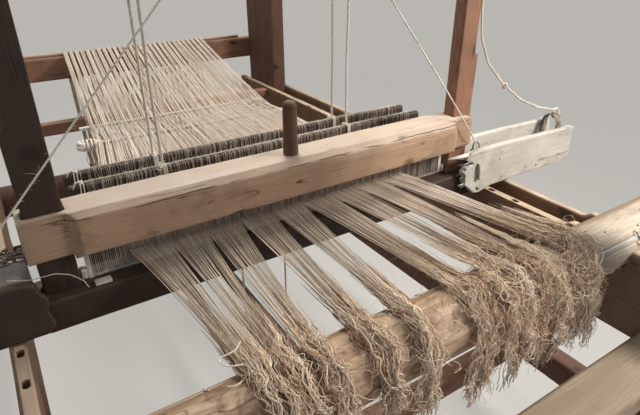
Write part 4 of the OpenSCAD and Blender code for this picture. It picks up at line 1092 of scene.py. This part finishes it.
def strips(name, corners, material):
    """One piece of many small square-edged strips: corners is a list of (low, high)."""
    low = np.array([c[0] for c in corners], float)
    high = np.array([c[1] for c in corners], float)
    pick = np.array([(0, 0, 0), (1, 0, 0), (1, 1, 0), (0, 1, 0),
                     (0, 0, 1), (1, 0, 1), (1, 1, 1), (0, 1, 1)])
    verts = (low[:, None] + (high - low)[:, None] * pick[None]).reshape(-1, 3)
    side = np.array([(0, 3, 2, 1), (4, 5, 6, 7), (0, 1, 5, 4), (1, 2, 6, 5), (2, 3, 7, 6), (3, 0, 4, 7)])
    quads = (np.arange(len(corners))[:, None, None] * 8 + side[None]).reshape(-1, 4)
    shade = np.repeat(rng.uniform(0.2, 0.8, len(corners)), 8)
    piece = mesh_of(name, verts, [quads], shade, material)
    piece.data.polygons.foreach_set("use_smooth", [False] * len(quads))
    return piece


def build_reed():
    """The reed: split-cane dents between two ribs, each rib a lath wound with thread."""
    low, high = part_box("reed")
    dents = []
    dent = 3.9 * MM
    for x in np.arange(low.x + 0.012, high.x - 0.012, dent):
        x += chance.gauss(0, 0.12 * MM)
        dents.append(((x - 0.5 * MM, REED_Y - 3.5 * MM, low.z + 3 * MM),
                      (x + 0.5 * MM, REED_Y + 3.5 * MM, high.z - 3 * MM)))
    put(strips("reed_dents", dents, TWINE), "batten", "grey_timber", "reed")
    turns, laths = [], []
    pitch_of_turns, steps = 3.2 * MM, 4
    for z in (low.z + 8 * MM, high.z - 8 * MM):
        t = np.arange(0, (high.x - low.x - 4 * MM) / pitch_of_turns * steps) / steps
        a = t * 2 * math.pi
        turns.append(np.stack([low.x + 2 * MM + t * pitch_of_turns, REED_Y + 6.3 * MM * np.cos(a),
                               z + 7.2 * MM * np.sin(a)], 1))
        laths.append([(x, REED_Y, z) for x in np.linspace(low.x, high.x, 30)])
    put(strands("reed_binding", [(turns, 0.9 * MM, [0.4, 0.5])], TWINE, 3), "batten", "grey_timber")
    put(strands("reed_laths", [(laths, 6.0 * MM, [0.5, 0.5])], timber("weathered_board", "x"), 4),
          "batten", "grey_timber")
    ends = [((x, REED_Y - 6 * MM, low.z + 2 * MM), (x + 9 * MM, REED_Y + 6 * MM, high.z - 2 * MM))
            for x in (low.x, high.x - 9 * MM)]
    put(strips("reed_end_strips", ends, timber("weathered_board", "z")), "batten", "grey_timber")


build_reed()


def shaft_cords():
    """The cords that carry the shafts: hairy hemp, one leg to each shaft, over the pulleys."""
    arc_t = np.linspace(0, math.pi, 22)
    for side, x in (("left", -PULLEY_X), ("right", PULLEY_X)):
        arc = np.stack([np.full(22, x), PULLEY_Y + PULLEY_R * np.cos(arc_t),
                        PULLEY_Z + PULLEY_R * np.sin(arc_t)], 1)
        plies = twisted(along_route(arc, 60), 3.4 * MM, tone=0.45)
        put(strands(f"heddle_cord_bend_{side}", [plies], CORD, 5), "frame", "twine", "heddle_cords")
        for shaft, name in enumerate(("front", "back")):
            body, y = "shaft_" + name, SHAFT_Y[shaft]
            low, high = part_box("shaft_bars_" + name)
            foot = high.z
            sway = chance.uniform(-3, 3) * MM
            points = [(x, y, PULLEY_Z), (x + sway, y, 1.45), (x - sway, y, 1.15), (x, y, foot)]
            route = along_route(points, 170)
            fuzz = hairs(route, 260, 0.007, 2.0, 0.0007, 0.9, 3)
            pieces = rope(f"heddle_cord_{side}_{body}", route, 3.6 * MM, 0.024, 0.6, "taut", [fuzz])
            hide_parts("heddle_cords")
            for piece in pieces:
                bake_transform(piece)
            t = np.linspace(0, 6 * math.pi, 90)
            wrap = round_bar(x - 5 * MM + t / (6 * math.pi) * 11 * MM, y, high.z - BAR_HALF,
                             (high.y - low.y) / 2 + 3.2 * MM, BAR_HALF + 4.2 * MM, t)
            groups = [knot((x, y, foot + 5 * MM), 3.8 * MM, (0, 0, 1), 3, 2.0 * MM, 0.6, 40 + shaft),
                      (wrap[None], 2.2 * MM, [0.5])]
            put(strands(f"heddle_cord_knot_{side}_{body}", groups, CORD, 5), body, "twine")


shaft_cords()

for node, body in (("tie_cord_front", "shaft_front"), ("tie_cord_back", "shaft_back")):
    low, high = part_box(node)
    x, y = (low.x + high.x) / 2, (low.y + high.y) / 2
    route = along_route([(x, y, low.z), (x + 2 * MM, y, (low.z + high.z) / 2), (x, y, high.z)], 200)
    cad_rope(node, body, route, 3.3 * MM, 0.018, 0.4, "taut")

# Picker cords, from the picker's ring up to the pull cord, and the cord from the right sword to its box.
# Points: across in metres, then mm behind the hand tree's face and mm above the floor.
BATTEN_CORDS = {
    "left": [(-0.750, 28, 852), (-0.740, 20, 880), (-0.700, 8, 920), (-0.600, 8, 1025), (-0.450, 18, 1180),
             (-0.225, 34, 1410), (-0.0076, 50, 1632)],
    "right": [(0.626, 28, 852), (0.622, 16, 872), (0.606, 6, 896), (0.560, 3, 950), (0.500, 5, 1026),
              (0.400, 16, 1150), (0.200, 34, 1394), (0.009, 50, 1628)],
    "stay": [(0.591, 55, 1480), (0.592, 55, 1380), (0.598, 55, 1280), (0.612, 54, 1200), (0.650, 52, 1130),
             (0.724, 48, 1060), (0.812, 42, 1000), (0.904, 36, 960), (0.984, 30, 940), (1.002, 28, 942)]}


def batten_route(name, count=240):
    return along_route([(x, TREE_Y + y * MM, z * MM) for x, y, z in BATTEN_CORDS[name]], count)


for side in ("left", "right"):
    route = batten_route(side)
    fuzz = hairs(route, 160, 0.007, 1.4, 0.00032, 0.85, 3)
    pieces = rope(f"picker_cord_{side}_hemp", route, 2.3 * MM, 0.013, 0.75, "taut", [fuzz])
    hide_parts(f"picker_cord_{side}")
    for piece in pieces:
        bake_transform(piece)

low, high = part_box("pull_cord")
mid = ((low.x + high.x) / 2, (low.y + high.y) / 2)
route = along_route([(*mid, low.z), (mid[0] + 1 * MM, mid[1], (low.z + high.z) / 2), (*mid, high.z)], 160)
cad_rope("pull_cord", "batten", route, 2.3 * MM, 0.018, 0.5, "taut",
         [knot((*mid, low.z + 8 * MM), 5 * MM, (0, 0, 1), 4, 2 * MM, 0.6, 71)])

route = batten_route("stay")
# Its end is hitched round the hoop.
hoop_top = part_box("end_strap")[1].z
HITCH = [tuple(route[-8]), tuple(route[-1]), (1.001, route[-1][1] - 0.008, hoop_top + 0.001),
         (0.996, route[-1][1] - 0.009, hoop_top - 0.012), (0.990, route[-1][1], hoop_top - 0.016),
         (0.984, route[-1][1] + 0.008, hoop_top - 0.004), (0.982, route[-1][1], hoop_top + 0.008)]
# The knot is where the cord turns from falling to running out sideways.
middle = tuple(route[np.argmin(np.abs(route[:, 0] - 0.735))])
cad_rope("stay_cord", "batten", route, 3.4 * MM, 0.018, 0.5, "hanging",
         [knot(middle, 6.5 * MM, (0.7, 0, -0.6), 4, 2.4 * MM, 0.6, 72),
          twisted(along_route(HITCH, 70), 3.0 * MM, 3, 0.016, 0.55),
          hairs(route, 220, 0.008, 1.5, 0.0004, 0.85, 3)])


# Small things that show wear and use

def lease_knot():
    """Yarn wound round the left end of the round lease stick, with its tails."""
    near_y, near_z = LEASE[0]
    t = np.linspace(0, 26 * math.pi, 420)
    wound = []
    for k in range(3):
        along = -0.345 + 0.034 * np.sin(t / (13 + 2 * k) + k)
        swell = np.sqrt(np.clip(1.02 - ((along + 0.345) / 0.040) ** 2, 0.2, 1))
        swell *= 0.0150 + 0.0022 * k
        wound.append(np.stack([along + 2 * MM * np.sin(t + k), near_y + swell * np.cos(t),
                               near_z + swell * np.sin(t)], 1))
    groups = [(wound, 1.9 * MM, [0.3, 0.6, 0.9]),
              knot((-0.368, near_y - 0.004, near_z + 0.006), 12 * MM, (1, 0, 0.2), 6, 1.9 * MM, 0.9, 4)]
    low = near_z - 0.01
    for tail in ([(-0.352, near_y, low), (-0.362, near_y - 0.01, 0.80), (-0.35, near_y + 0.012, 0.76)],
                 [(-0.34, near_y, low), (-0.336, near_y + 0.02, 0.80), (-0.344, near_y - 0.004, 0.775)]):
        groups.append((along_route(tail, 30)[None], 1.2 * MM, [0.6]))
    put(strands("lease_stick_knot", groups, LINEN, 4), "frame", "yarn")


def bar_strings():
    """Pale string tied round the shafts' left ends, and a tassel on the front bar."""
    for shaft, name in enumerate(("front", "back")):
        low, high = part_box("shaft_bars_" + name)
        y, z, half_t = SHAFT_Y[shaft], high.z - BAR_HALF, (high.y - low.y) / 2
        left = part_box("heddles_" + name)[0].x - 0.016
        t = np.linspace(0, 4 * math.pi, 60)
        wrap = round_bar(left - 4 * MM + t / (4 * math.pi) * 14 * MM + 3 * MM * np.sin(t), y, z,
                         half_t + 1.6 * MM, BAR_HALF + 1.6 * MM, t)
        end = along_route([(left, y, z + 0.019), (left - 8 * MM, y - 6 * MM, z + 0.026),
                           (left - 15 * MM, y - 12 * MM, z + 0.012)], 14)
        groups = [(wrap[None], 1.3 * MM, [0.9]), (end[None], 1.1 * MM, [0.95]),
                  knot((left + 3 * MM, y, z + 0.021), 4.5 * MM, (0, 0, 1), 3, 1.3 * MM, 0.85, 10 + shaft)]
        if shaft == 0:
            tassel_x = -0.2815
            groups.append(knot((tassel_x, y - 0.012, z + 0.02), 7 * MM, (0.2, 1, 0), 5, 1.6 * MM, 0.7, 31))
            groups.append(hairs([(tassel_x, y - 0.013, z + 0.02), (-0.283, y - 0.018, z - 0.03)],
                                50, 0.02, 0.5, 0.0004))
        put(strands(f"shaft_knots_{name}", groups, CORD, 4), "shaft_" + name, "twine")


def picker_ends():
    """An iron ring with tangled cord where the right picker's cord ends, and knots round the left picker."""
    turn = np.linspace(0, 2 * math.pi, 40)
    ring = np.stack([0.606 + 0.013 * np.cos(turn), TREE_Y + 0.014 + 0.004 * np.sin(turn),
                     0.893 + 0.015 * np.sin(turn)], 1)
    put(strands("picker_ring", [(ring[None], 1.9 * MM, [0.5])], IRON, 8), "picker_right", "iron")
    tangled = [knot((0.592, TREE_Y + 0.012, 0.884), 7 * MM, (0.5, 0.5, 0.6), 5, 1.8 * MM, 0.05, 12),
               knot((0.617, TREE_Y + 0.018, 0.864), 7 * MM, (0.1, 1, 0.3), 5, 2.0 * MM, 0.1, 13),
               knot((0.628, TREE_Y + 0.022, 0.852), 6 * MM, (1, 0.3, 0.2), 4, 1.8 * MM, 0.25, 14)]
    put(strands("picker_ring_knots", tangled, TWINE, 5), "picker_right", "twine")
    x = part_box("picker_left")[0].x
    tied = [knot((x + 0.012, TREE_Y + 0.026, 0.852), 9 * MM, (0.2, 1, 0.3), 6, 1.9 * MM, 0.3, 15),
            knot((x + 0.030, TREE_Y + 0.020, 0.846), 7 * MM, (1, 0.2, 0.3), 5, 1.9 * MM, 0.4, 16)]
    put(strands("picker_left_knots", tied, TWINE, 5), "picker_left", "twine")


def white_loops():
    """A white thread has slipped out of the left bout in a loop, and another lies curled on the log."""
    loop = along_route([(-0.335, -0.853, 0.866), (-0.348, -0.863, 0.862), (-0.362, -0.8635, 0.860),
                        (-0.3745, -0.861, 0.858), (-0.380, -0.868, 0.857), (-0.377, -0.879, 0.857),
                        (-0.3665, -0.8885, 0.857), (-0.350, -0.895, 0.858)], 60)
    curl = along_route([(-0.340, -0.893, 0.835), (-0.3613, -0.9047, 0.833), (-0.3718, -0.9052, 0.833),
                        (-0.3819, -0.9011, 0.833)], 60)
    put(strands("white_loops", [([loop, curl], 1.3 * MM, [0.95, 0.9])], CORD, 5), "frame", "yarn")


def left_box_things():
    """Cord and two offcuts in a jumble on the left box's back board, and a loose string over the box."""
    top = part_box("box_backs")[1].z
    jumble = [knot((-0.628, -0.4455, top + 0.006), 15 * MM, (0.2, 0, 1), 5, 1.8 * MM, 0.1, 21),
              knot((-0.600, -0.4455, top + 0.005), 11 * MM, (0, 0.3, 1), 4, 1.8 * MM, 0.3, 22)]
    put(strands("left_box_jumble", jumble, TWINE, 4), "batten", "twine")
    offcuts = [((-0.655, -0.4545, top), (-0.612, -0.4475, top + 0.006)),
               ((-0.603, -0.450, top), (-0.570, -0.440, top + 0.007))]
    put(strips("left_box_offcuts", offcuts, timber("weathered_board", "x")), "batten", "grey_timber")
    string = along_route([(-0.640, -0.505, 0.896), (-0.600, -0.500, 0.880), (-0.560, -0.508, 0.884),
                          (-0.535, -0.500, 0.868), (-0.515, -0.506, 0.850), (-0.508, -0.512, 0.834)], 80)
    put(strands("loose_string", [twisted(string, 1.1 * MM, 2, 0.008, 0.5)], CORD, 4), "batten", "twine")


def board_end():
    """A worn stub of wood pinned on the right board's face, and splinters at its rotten end."""
    stub = along_route([(0.582, BOX_FACE_Y - 0.003, 0.860), (0.587, BOX_FACE_Y - 0.005, 0.83),
                        (0.591, BOX_FACE_Y - 0.003, 0.804)], 12)
    stub_r = 5 * MM * np.array([0.6, 0.9, 1, 1.1, 1, 0.9, 1, 1, 1, 0.9, 0.8, 0.5])
    put(strands("board_stub", [(stub[None], stub_r[None], [0.5])], timber("worn_seat_board", "z"), 6),
        "batten", "grey_timber")
    slivers, thick = [], []
    for _ in range(16):
        z = chance.uniform(0.79, 0.892)
        reach = chance.uniform(0.006, 0.03)
        y = BOX_FACE_Y + chance.uniform(0.003, 0.018)
        slivers.append([(0.58, y, z), (0.545 - reach * 0.3, y, z + chance.gauss(0, 0.002)),
                        (0.535 - reach, y + chance.gauss(0, 0.003), z + chance.gauss(0, 0.006))])
        thick.append(np.array((3.2, 2.2, 0.3)) * MM * chance.uniform(0.5, 1.1))
    # The longest splinter stands out at the top.
    slivers.append([(0.550, BOX_FACE_Y + 0.012, 0.888), (0.50, BOX_FACE_Y + 0.008, 0.892),
                    (0.457, BOX_FACE_Y + 0.006, 0.897)])
    thick.append(np.array((8, 6, 1)) * MM)
    shade = [0.5] * len(slivers)
    put(strands("board_splinters", [(slivers, thick, shade)], timber("weathered_board", "x"), 4),
        "batten", "grey_timber")


def on_log(x, degrees, lift):
    """A point that stands off the log's skin by lift. Degrees go round from the back over the top."""
    turn, r = math.radians(degrees), LOG_R + lift
    return (x, LOG_Y + r * math.cos(turn), LOG_Z + r * math.sin(turn))


def nails():
    """Nail heads and nail holes: small dark discs that stand a little proud."""
    def studs(name, spots, body):
        paths, radii = [], []
        for point, way, r in spots:
            paths.append([tuple(np.array(point) + np.array(way) * step * MM) for step in (-2, 0.7, 1.0)])
            radii.append(np.array((1.0, 1.0, 0.4)) * r * MM)
        put(strands(name, [(paths, radii, [0.5] * len(spots))], IRON, 8), body, "iron")

    studs("box_nails", [((x, BOX_FACE_Y + 1.2 * MM, z), (0, -1, 0), r) for x, z, r in
                        ((0.680, 0.850, 2.2), (0.870, 0.787, 3.4), (0.700, 0.788, 2.0), (0.985, 0.80, 2.2),
                         (0.968, 0.872, 2.0), (0.82, 0.79, 1.8))], "batten")
    log_spots = []
    for x, degrees, r in ((0.533, 93, 2.2), (0.5816, 112, 2.0), (0.76, 100, 2.0), (0.70, 128, 1.8)):
        way = (0, math.cos(math.radians(degrees)), math.sin(math.radians(degrees)))
        log_spots.append((on_log(x, degrees, -2.2 * MM), way, r))
    studs("log_nails", log_spots, "cloth_beam")

    # A wire staple holds the lath in the log's groove.
    across = []
    for spread in np.linspace(-9, 9, 9):
        degrees = 150 + math.degrees(spread * 2.2 * MM / LOG_R)
        lift = (2.0 if abs(spread) < 8 else -2.0) * MM
        across.append(on_log(0.678 + 0.6 * spread * MM, degrees, lift))
    wire = along_route(across, 30)
    put(strands("lath_staple", [(wire[None], 1.5 * MM, [0.5])], IRON, 6), "cloth_beam", "iron")
    # A dark peg in the rear right post.
    peg = [[(0.684, 0.90, 0.868), (0.684, 0.872, 0.868), (0.684, 0.866, 0.868)]]
    peg_r = np.array([(11, 11, 8)]) * MM
    put(strands("post_peg", [(peg, peg_r, [0.5])], timber("blackened_oak", "y"), 10), "frame", "dark_timber")


def log_strip():
    """A thin lath tied along the back of the log's top, with bits of twine round it."""
    middle = 58
    line = np.array([on_log(x, middle, (-4.9 + 0.3 * math.sin(x * 31)) * MM)
                     for x in np.linspace(-0.63, 0.43, 60)])
    put(strands("log_strip", [(line[None], 5 * MM, [0.5])], timber("sawn_pine", "x"), 4),
        "cloth_beam", "pale_timber")
    ties = []
    for x in (-0.57, -0.555, -0.545, -0.41, -0.20, 0.04, 0.16):
        bow = [on_log(x + chance.gauss(0, 2 * MM), middle, lift * MM) for lift in (-1, 0.4, 0.6)]
        bow.insert(0, on_log(x, middle - 9, -1 * MM))
        bow.append(on_log(x + 4 * MM, middle + 9, -1 * MM))
        ties.append(along_route(bow, 16))
    put(strands("log_strip_ties", [(ties, 1.3 * MM, rng.uniform(0.3, 0.8, len(ties)))], CORD, 4),
        "cloth_beam", "twine")


lease_knot()
bar_strings()
picker_ends()
white_loops()
left_box_things()
board_end()
nails()
log_strip()
